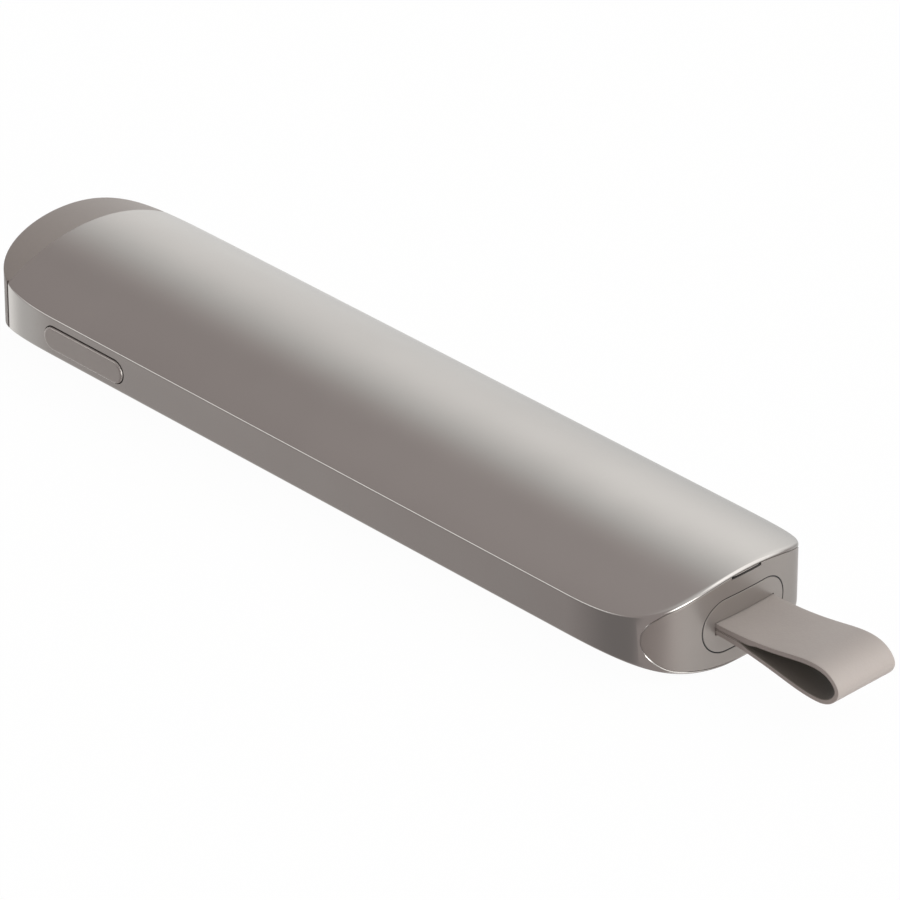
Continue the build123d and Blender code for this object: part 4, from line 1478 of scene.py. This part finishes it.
@dataclass
class Works:
    """Everything inside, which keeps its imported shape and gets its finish."""

    groups: tuple[tuple[Finish, str], ...] = (
        (Finishes.BRASS, "laser_holder plug_contacts battery_tabs"),
        (Finishes.CLEAR_LENS, "laser_lens status_led"),
        (Finishes.STEEL, "laser_diode board_screws radio_shield vibration_motor antenna "
                         "retaining_springs charge_socket strap_pin plug_shell"),
        (Finishes.BOARD, "laser_board main_board receiver_board"),
        (Finishes.BLACK, "pointer_stem next_stem back_stem side_stem button_switches side_switch "
                         "radio_chip power_chip charge_tongue plug_tongue"),
        (Finishes.FRAME, "middle_frame receiver_sleeve"),
        (Finishes.FOAM, "battery_pad"),
        (Finishes.FOIL, "battery"),
        (Finishes.FLEX, "led_flex"),
    )

    def build(self, shop: Workshop) -> None:
        """Dresses every group."""
        for finish, names in self.groups:
            shop.dress(finish, *names.split())


# ------------------------------------------------------------------ studio
@dataclass(frozen=True)
class SoftLight:
    """Round soft light far off in the studio; a level below nothing is a dark flag."""

    azimuth: float
    elevation: float
    radius: float
    soft: float
    level: float

    def aim(self) -> Vector:
        """Unit direction from the clicker to the light's middle."""
        turn, rise = radians(self.azimuth), radians(self.elevation)
        return Vector((cos(rise) * cos(turn), cos(rise) * sin(turn), sin(rise)))

    def reach(self, bench: NodeBench) -> Socket:
        """The light's level in each direction of the world.

        Args:
            bench: Bench over the world.

        Returns:
            The level's socket.
        """
        way = bench.add("VectorMath", {"operation": "DOT_PRODUCT"}, in_0=bench.at,
                        in_1=self.aim()).outputs["Value"]
        near = radians(self.radius)
        return bench.ramp(bench.math("ARCCOSINE", way), near, near + radians(self.soft),
                          self.level, 0.0, True)


@dataclass
class Studio:
    """Camera, pale floor and soft light."""

    eye: Triple = (552.3, -521.1, 448.9)
    back: Triple = (0.6209, -0.5981, 0.5068)
    lens: float = 278.6
    sensor: float = 36.0
    clip: Pair = (0.02, 20.0)
    reach: float = 3.0
    floor_tones: Pair = (0.88, 0.9)
    floor_shadow: float = 0.03
    room: float = 0.388
    backdrop_in_metal: float = 0.15
    white: Colour = (1.0, 0.994, 0.982)
    dusk: Colour = (1.0, 0.8545, 0.833)
    dusk_levels: Pair = (0.388, 0.765)
    lights: tuple[SoftLight, ...] = (
        SoftLight(114, 25, 0, 45, 1.365),
        SoftLight(162, -17, 22, 36, 1.867),
        SoftLight(167, -7, 39, 12, -0.627),
        SoftLight(-150, -31, 5, 11, 0.125),
        SoftLight(131, -22, 4, 15, -0.345),
        SoftLight(-107, -22, 15, 17, -0.235),
        SoftLight(52, 38, 20, 22, 1.49),
        SoftLight(-15, 1, 10, 14, 4.9),
        SoftLight(2, 18, 18, 36, 0.6),
        SoftLight(32, -38, 20, 18, 0.361),
        SoftLight(88, -32, 14, 22, 0.408),
        SoftLight(20, 78, 14, 45, 0.4),
        SoftLight(-130, 12, 8, 14, 1.412),
        SoftLight(20, -66, 8, 16, 1.412),
    )

    def camera(self) -> None:
        """Camera at the reference viewing angle."""
        data = bpy.data.cameras.new("camera")
        data.lens, data.sensor_width = self.lens, self.sensor
        data.clip_start, data.clip_end = self.clip
        camera = bpy.data.objects.new("camera", data)
        back = Vector(self.back).normalized()
        right = Vector((0, 0, 1)).cross(back).normalized()
        turn = Matrix((right, back.cross(right), back)).transposed().to_4x4()
        camera.matrix_world = Matrix.Translation(Vector(self.eye) * MM) @ turn
        bpy.context.scene.collection.objects.link(camera)
        bpy.context.scene.camera = camera

    def floor(self) -> None:
        """Pale floor that keeps a faint shadow and is clear from below."""
        bm = bmesh.new()
        bmesh.ops.create_grid(bm, x_segments=4, y_segments=4, size=self.reach)
        floor = Workshop.blank(bm, "floor")
        bench = NodeBench(bpy.data.materials.new("pale_floor"))
        grain = bench.ramp(bench.noise(30.0, 3.0), *MIDDLE)
        tones = [(tone,) * 3 for tone in self.floor_tones]
        matt = bench.add("BsdfDiffuse", Color=bench.mix(grain, *tones))
        glow = bench.add("Emission", Color=WHITE, Strength=1.0)
        seen = bench.add("LightPath").outputs["Is Camera Ray"]
        share = bench.math("MULTIPLY", seen, 1 - self.floor_shadow)
        above = bench.add("MixShader", in_0=share, in_1=matt.outputs[0], in_2=glow.outputs[0])
        below = bench.add("BsdfTransparent")
        bench.surface(bench.add("MixShader", in_0=bench.add("NewGeometry").outputs["Backfacing"],
                                in_1=above.outputs[0], in_2=below.outputs[0]))
        floor.data.materials.append(bench.owner)
        floor.visible_glossy = floor.visible_diffuse = False

    def world(self) -> None:
        """White backdrop to the camera and through glass, and by a share in what is glossy.

        All else sees soft lights in a dim warm room.
        """
        world = bpy.context.scene.world = bpy.data.worlds.new("studio")
        bench = NodeBench(world)
        level = self.room
        for light in self.lights:
            level = bench.math("ADD", level, light.reach(bench))
        tint = bench.mix(bench.ramp(level, *self.dusk_levels), self.dusk, self.white)
        camera, glass, glossy = (bench.add("LightPath").outputs[f"Is {ray} Ray"]
                                 for ray in ("Camera", "Transmission", "Glossy"))
        gleam = bench.math("MULTIPLY", glossy, self.backdrop_in_metal)
        seen = bench.math("MAXIMUM", bench.math("MAXIMUM", camera, glass), gleam)
        lit = bench.add("Background", Color=tint, Strength=level)
        backdrop = bench.add("Background", Color=WHITE, Strength=1.0)
        bench.surface(bench.add("MixShader", in_0=seen, in_1=lit.outputs[0],
                                in_2=backdrop.outputs[0]))

    def build(self) -> None:
        """Camera, floor and light."""
        bpy.context.scene.view_settings.view_transform = "Standard"
        self.camera()
        self.floor()
        self.world()


def main() -> None:
    """Builds the clicker's pieces and the studio."""
    logging.basicConfig(level=logging.INFO, format="%(message)s")
    shop, form = Workshop(frame["nodes"]), BodyForm()
    tail, keys, casing = TailEnd(form), Keys(form), Casing(form)
    Studio().build()
    Works().build(shop)
    casing.housing(shop, tail, keys)
    casing.tip(shop)
    casing.cover(shop, keys)
    tail.build(shop)
    tail.receiver_end(shop)
    keys.build(shop)
    WristStrap(form.length / 2, tail.receiver_z).build(shop)


if __name__ == "__main__":
    main()
